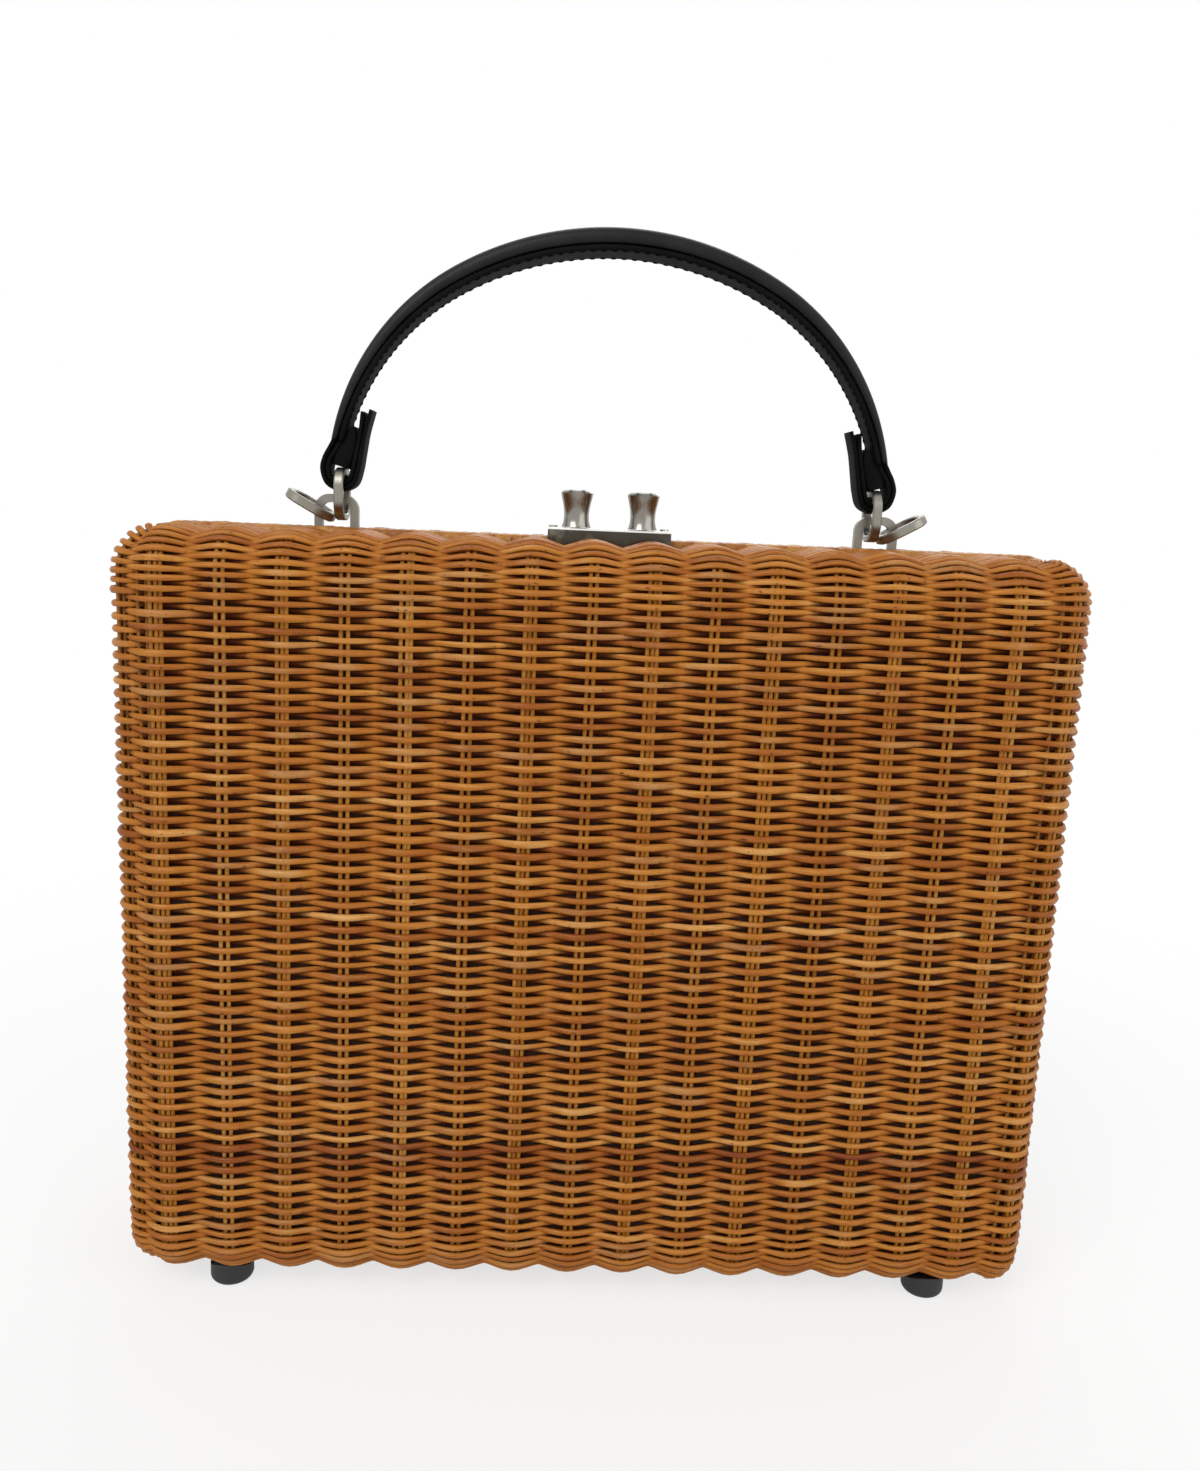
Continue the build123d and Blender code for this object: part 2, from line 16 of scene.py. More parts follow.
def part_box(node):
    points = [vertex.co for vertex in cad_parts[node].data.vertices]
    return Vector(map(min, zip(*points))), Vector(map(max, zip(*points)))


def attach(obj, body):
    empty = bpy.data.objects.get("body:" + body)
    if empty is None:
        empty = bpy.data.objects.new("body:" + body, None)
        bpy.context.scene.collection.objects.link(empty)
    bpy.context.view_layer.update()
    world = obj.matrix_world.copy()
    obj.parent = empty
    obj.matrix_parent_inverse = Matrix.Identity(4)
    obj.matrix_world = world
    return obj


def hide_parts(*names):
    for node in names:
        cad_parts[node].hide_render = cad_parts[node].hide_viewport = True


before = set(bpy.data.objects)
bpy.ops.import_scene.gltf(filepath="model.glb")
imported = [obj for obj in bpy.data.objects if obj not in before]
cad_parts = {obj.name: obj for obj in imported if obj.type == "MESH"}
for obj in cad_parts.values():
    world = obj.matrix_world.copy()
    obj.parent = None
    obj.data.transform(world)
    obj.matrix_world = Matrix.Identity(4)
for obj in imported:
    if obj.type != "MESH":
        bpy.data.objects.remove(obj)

LOG = logging.getLogger("briefcase")
MM = 0.001
Triple = tuple[float, float, float]
Colour = Triple
Span = tuple[float, float]
Stops = tuple[tuple[float, Colour], ...]
Value = Union["Sock", float]
WHITE = (1.0, 1.0, 1.0, 1.0)
PLAIN_SCALE = (1.0, 1.0, 1.0)
Y_AXIS = np.array([0.0, 1.0, 0.0])

# Step of the fibre pattern from one strand, stake or turn of cane to the next.
FIBRE_STEP = 7.0 * MM

# Layers of a folded handle end, for the right: x and z from the ring's bar, and thickness, all in mm.
LOOP_INNER = (
    (-7.2, 18.9, 1.5), (-6.4, 12.0, 1.5), (-5.2, 5.6, 1.6), (-4.1, 0.5, 1.7), (-2.85, -2.9, 1.7),
    (0.0, -4.05, 1.7), (2.85, -2.9, 1.7), (4.0, 0.3, 1.7), (3.2, 3.8, 1.7), (1.3, 6.8, 1.7),
    (0.0, 9.3, 1.7),
)
LOOP_OUTER = (
    (-9.9, 19.6, 1.4), (-8.0, 12.5, 1.4), (-6.8, 6.0, 1.6), (-5.8, 0.5, 1.7), (-4.1, -4.05, 1.7),
    (0.0, -5.75, 1.7), (4.1, -4.05, 1.7), (5.72, 0.3, 1.7), (5.0, 4.0, 1.7), (3.2, 7.4, 1.7),
    (2.0, 9.7, 1.7),
)
LOOP_THROAT = ((-0.1, 1.3, 6.2), (-1.2, 5.0, 7.0), (-2.9, 9.0, 5.4), (-3.7, 12.0, 3.6), (-4.3, 14.2, 1.0))

# Underside of a handle band: shares of its half width and of its height.
BAND_UNDERSIDE = ((-0.97, 0.06), (-0.90, 0.0), (-0.4, 0.0), (0.4, 0.0), (0.90, 0.0), (0.97, 0.06))

# Room beside and before the clasp in the weave, the depth of the painted highlight along the top of its
# # plate and knobs, and the turn of the lining's corners.
CLASP_SIDE_ROOM = 0.6 * MM
CLASP_FRONT_ROOM = 1.2 * MM
PLATE_HIGHLIGHT = 0.7 * MM
KNOB_HIGHLIGHT = 0.4 * MM
LINING_TURN = 9.0 * MM


class Half(Enum):
    """The two trays, with the sign that turns the front one's x and y there."""

    FRONT = 1.0
    BACK = -1.0

    @property
    def body(self) -> str:
        """The body that this tray rides on."""
        return self.name.lower()

    @property
    def signs(self) -> np.ndarray:
        """Factors of x, y and z that turn the front tray to this one's place."""
        return np.array([self.value, self.value, 1.0])


class Side(Enum):
    """The two ends of the handle, with the sign of their x."""

    LEFT = -1.0
    RIGHT = 1.0

    @property
    def word(self) -> str:
        """The side's name as it stands in node names."""
        return self.name.lower()


class Sock:
    """A node's output, with Python's operators standing for Math nodes."""

    def __init__(self, tree: "Tree", socket: bpy.types.NodeSocket) -> None:
        """Keeps the socket and the tree that it belongs to."""
        self.tree = tree
        self.socket = socket

    def math(self, operation: str, *values: Value) -> "Sock":
        """Adds one Math node.

        Args:
            operation: The Math node's operation.
            values: Its inputs in order, sockets or numbers.

        Returns:
            The node's value.
        """
        return self.tree.node("ShaderNodeMath", {"operation": operation}, dict(enumerate(values)))

    def __add__(self, other: Value) -> "Sock":
        """This value plus another."""
        return self.math("ADD", self, other)

    def __radd__(self, other: float) -> "Sock":
        """A number plus this value."""
        return self.math("ADD", other, self)

    def __sub__(self, other: Value) -> "Sock":
        """This value less another."""
        return self.math("SUBTRACT", self, other)

    def __rsub__(self, other: float) -> "Sock":
        """A number less this value."""
        return self.math("SUBTRACT", other, self)

    def __mul__(self, other: Value) -> "Sock":
        """This value times another."""
        return self.math("MULTIPLY", self, other)

    def __rmul__(self, other: float) -> "Sock":
        """A number times this value."""
        return self.math("MULTIPLY", other, self)

    def most(self, other: Value) -> "Sock":
        """The larger of this value and another."""
        return self.math("MAXIMUM", self, other)


class Tree:
    """A node tree that is filled through a single node-making method."""

    def __init__(self, tree: bpy.types.NodeTree) -> None:
        """Empties the tree."""
        self.tree = tree
        self.tree.nodes.clear()

    def node(
        self,
        kind: str,
        settings: Optional[dict[str, Any]] = None,
        inputs: Optional[dict[Union[str, int], Any]] = None,
        output: Union[str, int, None] = 0,
    ) -> Any:
        """Adds a node, sets it up and links it.

        Args:
            kind: The node's type.
            settings: Attributes set first; "stops" fills a ramp with (place, colour) pairs.
            inputs: Values or sockets by input name or number.
            output: The output to hand back, or None for the node itself.

        Returns:
            The chosen output as a Sock, or the node.
        """
        made = self.tree.nodes.new(kind)
        for key, value in (settings or {}).items():
            if key == "stops":
                self.fill_ramp(made.color_ramp, value)
            else:
                setattr(made, key, value)
        for key, value in (inputs or {}).items():
            if isinstance(value, Sock):
                self.tree.links.new(value.socket, made.inputs[key])
            else:
                made.inputs[key].default_value = value
        return made if output is None else Sock(self, made.outputs[output])

    @staticmethod
    def fill_ramp(ramp: bpy.types.ColorRamp, stops: Stops) -> None:
        """Puts (place, colour) stops on a colour ramp."""
        while len(ramp.elements) < len(stops):
            ramp.elements.new(0.5)
        for element, (place, colour) in zip(ramp.elements, stops):
            element.position = place
            element.color = (*colour, 1.0)

    def seen(self) -> Sock:
        """1 for camera, glossy and transmission rays, which see the white ground, 0 for the light's own."""
        path = self.node("ShaderNodeLightPath", output=None)
        kinds = ("Camera", "Glossy", "Transmission")
        camera, glossy, through = (Sock(self, path.outputs[f"Is {kind} Ray"]) for kind in kinds)
        return camera.most(glossy).most(through)


class Shade(Tree):
    """One node material round a principled shader."""

    def __init__(self, name: str) -> None:
        """Starts a material with a principled shader on its output."""
        self.material = bpy.data.materials.new(name)
        self.material.use_nodes = True
        super().__init__(self.material.node_tree)
        self.shader = self.node("ShaderNodeBsdfPrincipled")
        self.output = self.node("ShaderNodeOutputMaterial", {}, {"Surface": self.shader}, None)

    def set(self, **values: Any) -> None:
        """Sets or links inputs of the principled shader, with _ for a space in their names."""
        shader = self.shader.socket.node
        for key, value in values.items():
            socket = shader.inputs[key.replace("_", " ")]
            if isinstance(value, Sock):
                self.tree.links.new(value.socket, socket)
            else:
                socket.default_value = value

    def place(self, scale: Triple = PLAIN_SCALE, uv: Optional[str] = None) -> Sock:
        """Object coordinates, or a UV map's, stretched by a scale along each axis."""
        if uv is None:
            vector = self.node("ShaderNodeTexCoord", output="Object")
        else:
            vector = self.node("ShaderNodeUVMap", {"uv_map": uv})
        return self.node("ShaderNodeMapping", {}, {"Vector": vector, "Scale": scale})

    def noise(self, vector: Sock, scale: float = 1.0, detail: float = 3.0, rough: float = 0.55) -> Sock:
        """Fractal noise from 0 to 1."""
        inputs = {"Vector": vector, "Scale": scale, "Detail": detail, "Roughness": rough}
        return self.node("ShaderNodeTexNoise", {}, inputs)

    def pebbles(self, vector: Sock, scale: float) -> Sock:
        """Smoothed distance to the nearest cell point."""
        return self.node("ShaderNodeTexVoronoi", {"feature": "SMOOTH_F1"}, {"Vector": vector, "Scale": scale})

    def span(self, value: Sock, low: float, high: float, start: float = 0.0, end: float = 1.0) -> Sock:
        """Maps low..high smoothly to start..end and holds it there."""
        inputs = {"Value": value, "From Min": low, "From Max": high, "To Min": start, "To Max": end}
        return self.node("ShaderNodeMapRange", {"interpolation_type": "SMOOTHSTEP"}, inputs)

    def ramp(self, value: Sock, stops: Stops) -> Sock:
        """A colour ramp."""
        return self.node("ShaderNodeValToRGB", {"stops": stops}, {"Fac": value})

    def mix(self, share: Value, first: Any, second: Any) -> Sock:
        """Mixes two colours, sockets or plain triples."""
        first, second = (c if isinstance(c, Sock) else (*c, 1.0) for c in (first, second))
        return self.node("ShaderNodeMix", {"data_type": "RGBA"}, {0: share, 6: first, 7: second}, 2)

    def channels(self, attribute: str) -> tuple[Sock, Sock, Sock]:
        """The three channels of a colour attribute."""
        colour = self.node("ShaderNodeAttribute", {"attribute_name": attribute}, output="Color")
        parts = self.node("ShaderNodeSeparateColor", {}, {"Color": colour}, None)
        return tuple(Sock(self, parts.outputs[i]) for i in range(3))

    def bump(self, height: Sock, distance: float, strength: float = 1.0) -> None:
        """Feeds a height through a Bump node to the shader's normal."""
        inputs = {"Height": height, "Distance": distance, "Strength": strength}
        self.set(Normal=self.node("ShaderNodeBump", {}, inputs))


@dataclass(frozen=True)
class RattanFinish:
    """Varnished rattan: tinted strand by strand, streaked along the fibre, with painted shade where it dips.

    The ramp runs from the reddest strand to the palest; the colour attribute of the strands gives tint,
    painted shade where the strand dips under its neighbours, and fading.
    """

    name: str
    stops: Stops
    # Dark red-brown of the painted shade where a strand dips under its neighbours.
    dip_colour: Colour = (0.060, 0.009, 0.001)
    faded: Colour = (0.46, 0.26, 0.10)
    speck: Colour = (0.07, 0.020, 0.005)
    streak_scale: Triple = (55.0, 1500.0, 1.0)
    streak_share: float = 0.55
    mottle_scale: Triple = (160.0, 300.0, 1.0)
    mottle_share: float = 0.35
    fade_mottle: float = 0.5
    fade_span: Span = (0.70, 1.10)
    fade_share: float = 0.5
    speck_scale: Triple = (420.0, 900.0, 1.0)
    speck_span: Span = (0.66, 0.74)
    speck_share: float = 0.75
    # Span and share of that painted shade over the dip mask.
    dip_span: Span = (0.48, 0.92)
    dip_share: float = 0.94
    roughness: float = 0.40
    streak_rough: float = 0.22
    dip_rough: float = 0.2
    gloss: float = 0.13
    coat: float = 0.23
    coat_roughness: float = 0.20
    depth: float = 0.12 * MM

    def make(self) -> bpy.types.Material:
        """Builds the material."""
        shade = Shade(self.name)
        tint, dip, fade = shade.channels("dye")
        streak = shade.noise(shade.place(self.streak_scale, "strand"), detail=4.0)
        mottle = shade.noise(shade.place(self.mottle_scale, "strand"), detail=2.0)
        specks = shade.noise(shade.place(self.speck_scale, "strand"), detail=1.0)
        tone = tint + (streak - 0.5) * self.streak_share + (mottle - 0.5) * self.mottle_share
        fading = fade + (mottle - 0.5) * self.fade_mottle
        colour = shade.ramp(tone, self.stops)
        # The last mix is painted shade: the colour darkens where the strand dips under its neighbours.
        for value, span, share, tone_there in (
            (fading, self.fade_span, self.fade_share, self.faded),
            (specks, self.speck_span, self.speck_share, self.speck),
            (dip, self.dip_span, self.dip_share, self.dip_colour),
        ):
            colour = shade.mix(shade.span(value, *span, 0.0, share), colour, tone_there)
        shade.set(
            Base_Color=colour,
            Roughness=self.roughness + streak * self.streak_rough + dip * self.dip_rough,
            Specular_IOR_Level=self.gloss,
            Coat_Weight=self.coat - dip * self.coat,
            Coat_Roughness=self.coat_roughness,
        )
        shade.bump(streak * 0.7 + mottle * 0.3, self.depth, 0.8)
        return shade.material


@dataclass(frozen=True)
class LeatherFinish:
    """Black leather: fine pebbled grain, a little rub and a soft sheen."""

    name: str
    dark: Colour = (0.003, 0.003, 0.003)
    rubbed: Colour = (0.010, 0.011, 0.011)
    grain: float = 900.0
    roughness: float = 0.42
    gloss: float = 0.18
    depth: float = 0.10 * MM
    crease_scale: float = 260.0
    rub_scale: float = 45.0
    rub_span: Span = (0.35, 0.75)
    rub_rough: float = 0.18
    pebble_rough: float = 0.06

    def make(self) -> bpy.types.Material:
        """Builds the material."""
        shade = Shade(self.name)
        where = shade.place()
        pebble = shade.pebbles(where, self.grain)
        crease = shade.noise(where, self.crease_scale, 4.0)
        rub = shade.noise(where, self.rub_scale, 3.0)
        shade.set(
            Base_Color=shade.mix(shade.span(rub, *self.rub_span), self.dark, self.rubbed),
            Roughness=self.roughness + (rub - 0.5) * self.rub_rough + pebble * self.pebble_rough,
            Specular_IOR_Level=self.gloss,
        )
        shade.bump(pebble * 0.6 + crease * 0.4, self.depth, 0.7)
        return shade.material


@dataclass(frozen=True)
class MetalFinish:
    """Plated metal: a tone, a base roughness, brushed scratches and smudges, and a painted highlight on top.
    """

    name: str
    colour: Colour
    roughness: float
    smudge: float
    brush: Triple = (900.0, 900.0, 900.0)
    depth: float = 0.01 * MM
    cloud_scale: Triple = (170.0, 170.0, 170.0)
    cloud_span: Span = (0.5, 0.8)
    cloud_middle: float = 0.4
    tarnish: Colour = (0.20, 0.17, 0.13)
    tarnish_share: float = 0.25
    # Colour of the painted highlight along the top, the height where it starts and its soft edge.
    bright: Colour = (0.80, 0.78, 0.74)
    bright_from: float = 10.0
    bright_edge: float = 0.1 * MM

    def make(self) -> bpy.types.Material:
        """Builds the material, with a painted highlight from a height upwards."""
        shade = Shade(self.name)
        cloud = shade.noise(shade.place(self.cloud_scale), detail=4.0)
        lines = shade.noise(shade.place(self.brush), detail=2.0)
        dull = shade.span(cloud, *self.cloud_span, 0.0, self.tarnish_share)
        colour = shade.mix(dull, self.colour, self.tarnish)
        height = shade.node("ShaderNodeSeparateXYZ", {}, {0: shade.place()}, "Z")
        # Painted highlight: everything above the height takes a bright colour.
        top = shade.span(height, self.bright_from, self.bright_from + self.bright_edge)
        smudges = (cloud - self.cloud_middle) * self.smudge
        shade.set(
            Base_Color=shade.mix(top, colour, self.bright),
            Metallic=1.0,
            Roughness=self.roughness + smudges + (lines - 0.5) * self.smudge * 0.5,
        )
        shade.bump(lines, self.depth, 0.6)
        return shade.material


@dataclass(frozen=True)
class RubberFinish:
    """Moulded black rubber with a fine matt texture."""

    name: str
    colour: Colour = (0.012, 0.012, 0.012)
    dust: Colour = (0.05, 0.047, 0.043)
    dust_span: Span = (0.5, 0.8)
    dust_share: float = 0.6
    roughness: float = 0.62
    fine_scale: float = 1800.0
    patch_scale: float = 130.0
    depth: float = 0.05 * MM

    def make(self) -> bpy.types.Material:
        """Builds the material."""
        shade = Shade(self.name)
        where = shade.place()
        fine = shade.noise(where, self.fine_scale, 2.0)
        patches = shade.noise(where, self.patch_scale, 3.0)
        dusty = shade.span(patches, *self.dust_span, 0.0, self.dust_share)
        shade.set(
            Base_Color=shade.mix(dusty, self.colour, self.dust),
            Roughness=self.roughness + (patches - 0.5) * 0.2,
        )
        shade.bump(fine, self.depth, 0.6)
        return shade.material


@dataclass(frozen=True)
class ClothFinish:
    """Plain woven cotton: warp and weft as two crossed waves, with slubs."""

    name: str
    colour: Colour
    slub: Colour
    threads: float = 2200.0
    full_turn: float = 6.2832
    distortion: float = 0.4
    slub_scale: Triple = (90.0, 90.0, 700.0)
    slub_span: Span = (0.3, 0.75)
    roughness: float = 0.85
    sheen: float = 0.15
    depth: float = 0.12 * MM

    def make(self) -> bpy.types.Material:
        """Builds the material."""
        shade = Shade(self.name)
        inputs = {
            "Vector": shade.place(),
            "Scale": self.threads / self.full_turn,
            "Distortion": self.distortion,
        }
        warp, weft = (
            shade.node("ShaderNodeTexWave", {"wave_type": "BANDS", "bands_direction": way}, inputs, "Fac")
            for way in ("X", "Z")
        )
        slubs = shade.noise(shade.place(self.slub_scale), detail=3.0)
        colour = shade.mix(shade.span(slubs, *self.slub_span), self.colour, self.slub)
        shade.set(Base_Color=colour, Roughness=self.roughness, Sheen_Weight=self.sheen)
        shade.bump(warp * weft, self.depth, 0.7)
        return shade.material


class Piece:
    """Writes grids of points as closed tubes and puts them on a body."""

    @staticmethod
    def quads(along: int, around: int, wrap: bool) -> np.ndarray:
        """Corner numbers of one tube's quads: ring i, step j to ring i + 1, step j + 1."""
        rings = along if wrap else along - 1
        i, j = np.meshgrid(np.arange(rings), np.arange(around), indexing="ij")
        ahead, beside = (i + 1) % along, (j + 1) % around
        corners = (i * around + j, i * around + beside, ahead * around + beside, ahead * around + j)
        return np.stack(corners, axis=-1).reshape(-1, 4)

    @staticmethod
    def swelled(points: np.ndarray, quads: np.ndarray) -> float:
        """Signed volume of the quads, by tetrahedra from the middle of the points."""
        p = points - points.mean(axis=0)
        a, b, c, d = (p[quads[:, k]] for k in range(4))
        volume = np.einsum("ij,ij->i", a, np.cross(b, c)) + np.einsum("ij,ij->i", a, np.cross(c, d))
        return float(volume.sum())

    @classmethod
    def tubes(
        cls,
        name: str,
        points: np.ndarray,
        material: bpy.types.Material,
        uv: Optional[np.ndarray] = None,
        dye: Optional[np.ndarray] = None,
        wrap: bool = False,
    ) -> bpy.types.Object:
        """Writes a set of equal tubes as one mesh, ends capped unless they wrap into a ring.

        Args:
            name: The piece's name.
            points: Rings of points, shaped (tubes, along, around, 3).
            material: The finish.
            uv: Map called "strand", shaped (tubes, along, around, 2).
            dye: Tint, painted shade in the dips and fading, shaped (tubes, along, around, 3).
            wrap: True where the last ring joins the first.

        Returns:
            The new object, at the origin.
        """
        count, along, around, _ = points.shape
        flat = points.reshape(-1, 3)
        one = cls.quads(along, around, wrap)
        starts = np.arange(count) * along * around
        ring = np.arange(around)
        inward = cls.swelled(flat[: along * around], one) < 0
        one = one[:, ::-1] if inward else one
        corners = [(starts[:, None, None] + one[None]).reshape(-1, 4)]
        if not wrap:
            first = ring if inward else ring[::-1]
            last = (ring[::-1] if inward else ring) + (along - 1) * around
            corners += [starts[:, None] + first[None], starts[:, None] + last[None]]
        sizes = np.concatenate([np.full(len(c), c.shape[1]) for c in corners])
        loops = np.concatenate([c.reshape(-1) for c in corners])
        mesh = bpy.data.meshes.new(name)
        mesh.vertices.add(len(flat))
        mesh.vertices.foreach_set("co", flat.astype(np.float32).reshape(-1))
        mesh.loops.add(len(loops))
        mesh.loops.foreach_set("vertex_index", loops.astype(np.int32))
        mesh.polygons.add(len(sizes))
        mesh.polygons.foreach_set("loop_start", (np.cumsum(sizes) - sizes).astype(np.int32))
        mesh.polygons.foreach_set("use_smooth", np.ones(len(sizes), bool))
        mesh.update(calc_edges=True)
        if uv is not None:
            layer = mesh.uv_layers.new(name="strand")
            layer.uv.foreach_set("vector", uv.reshape(-1, 2)[loops].astype(np.float32).reshape(-1))
        # Tint, painted shade where a tube dips, and fading, kept as one colour attribute.
        if dye is not None:
            rgba = np.concatenate([dye, np.ones((*dye.shape[:-1], 1))], axis=-1)
            layer = mesh.attributes.new("dye", "FLOAT_COLOR", "POINT")
            layer.data.foreach_set("color", rgba.astype(np.float32).reshape(-1))
        mesh.materials.append(material)
        piece = bpy.data.objects.new(name, mesh)
        bpy.context.scene.collection.objects.link(piece)
        LOG.info("%s: %d faces", name, len(sizes))
        return piece

    @staticmethod
    def settle(piece: bpy.types.Object, body: str, slot: str, *nodes: str) -> bpy.types.Object:
        """Puts a piece on its body and hides the nodes that it stands for."""
        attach(piece, body)
        if nodes:
            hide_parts(*nodes)
        return piece


def blunt(values: np.ndarray, power: float) -> np.ndarray:
    """Values raised to a power with their signs kept, which squares up a round section."""
    return np.sign(values) * np.abs(values) ** power


def rings(
    path: np.ndarray,
    normal: np.ndarray,
    rise: np.ndarray,
    spread: np.ndarray,
    around: int,
    square: float = 1.0,
) -> np.ndarray:
    """Sections carried along paths.

    Each section is centre + normal x rise x cos^square + side x spread x sin^square, over one turn,
    where side is the unit cross product of the path's direction and the normal.

    Args:
        path: Centres, shaped (tubes, along, 3).
        normal: Unit directions of the rise, of the same shape.
        rise: Half thickness along the normal, shaped (tubes, along).
        spread: Half thickness to the side, of the same shape.
        around: Points in a section.
        square: 1 for an ellipse, less for a rounded rectangle.

    Returns:
        Points shaped (tubes, along, around, 3).
    """
    ahead = np.gradient(path, axis=1)
    beside = np.cross(ahead, normal)
    beside /= np.linalg.norm(beside, axis=-1, keepdims=True)
    turn = np.linspace(0.0, 2.0 * np.pi, around, endpoint=False)
    up = blunt(np.cos(turn), square)
    out = blunt(np.sin(turn), square)
    lift = (rise[..., None] * up)[..., None] * normal[:, :, None, :]
    reach = (spread[..., None] * out)[..., None] * beside[:, :, None, :]
    return path[:, :, None, :] + lift + reach


def smooth_path(keys: np.ndarray, count: int) -> np.ndarray:
    """A Catmull-Rom curve through key points, evenly sampled in its parameter.

    Args:
        keys: Key points, shaped (keys, 2 or 3).
        count: Points to return.

    Returns:
        Points shaped (count, 2 or 3).
    """
    padded = np.concatenate([2 * keys[:1] - keys[1:2], keys, 2 * keys[-1:] - keys[-2:-1]])
    t = np.linspace(0.0, len(keys) - 1.0, count)
    i = np.clip(t.astype(int), 0, len(keys) - 2)
    f = (t - i)[:, None]
    a, b, c, d = (padded[i + k] for k in range(4))
    return 0.5 * (2 * b + (c - a) * f + (2 * a - 5 * b + 4 * c - d) * f**2 + (3 * b - a - 3 * c + d) * f**3)


@dataclass
class TrayForm:
    """Rounded half box that the strands lie on, as a map from two lengths and a radius to space.

    "across" runs round the walls from the middle of the front, "up" from mid height over the rounded
    edges on to the top or bottom wall. A point is a core point plus radius x the outward normal.
    """

    half_width: float
    depth: float
    bottom: float
    top: float
    edge: float = 14.0 * MM
    rim: float = 6.6 * MM
    turn_radius: float = 13.0 * MM

    @property
    def core_x(self) -> float:
        """Half length of the flat front."""
        return self.half_width - self.edge

    @property
    def core_y(self) -> float:
        """Depth of the core, from the seam."""
        return self.depth - self.edge

    @property
    def core_z(self) -> float:
        """Half height of the flat front."""
        return (self.top - self.bottom) / 2 - self.edge

    @property
    def turn(self) -> float:
        """Length that a rounded edge takes of "across" and "up"."""
        return self.turn_radius * np.pi / 2

    @property
    def wall(self) -> float:
        """Length of a side, top or bottom wall as far as the rim."""
        return self.core_y - self.rim

    def place(self, across: np.ndarray, up: np.ndarray, radius: np.ndarray) -> tuple[np.ndarray, np.ndarray]:
        """Maps lengths to space.

        Args:
            across: Length round the walls.
            up: Length up the front and over the edges.
            radius: Distance from the core, equal to edge on the outer face.

        Returns:
            Points and outward unit normals.
        """
        past = np.maximum(np.abs(across) - self.core_x, 0.0)
        swing = np.minimum(past / self.turn_radius, np.pi / 2)
        over = np.maximum(np.abs(up) - self.core_z, 0.0)
        tip = np.minimum(over / self.turn_radius, np.pi / 2)
        back = np.maximum(past - self.turn, 0.0) + np.maximum(over - self.turn, 0.0)
        middle = (self.top + self.bottom) / 2
        core = np.stack(
            [
                np.clip(across, -self.core_x, self.core_x),
                back - self.core_y,
                middle + np.clip(up, -self.core_z, self.core_z),
            ],
            axis=-1,
        )
        normal = np.stack(
            [
                np.sign(across) * np.sin(swing) * np.cos(tip),
                -np.cos(swing) * np.cos(tip),
                np.sign(up) * np.sin(tip),
            ],
            axis=-1,
        )
        return core + radius[..., None] * normal, normal


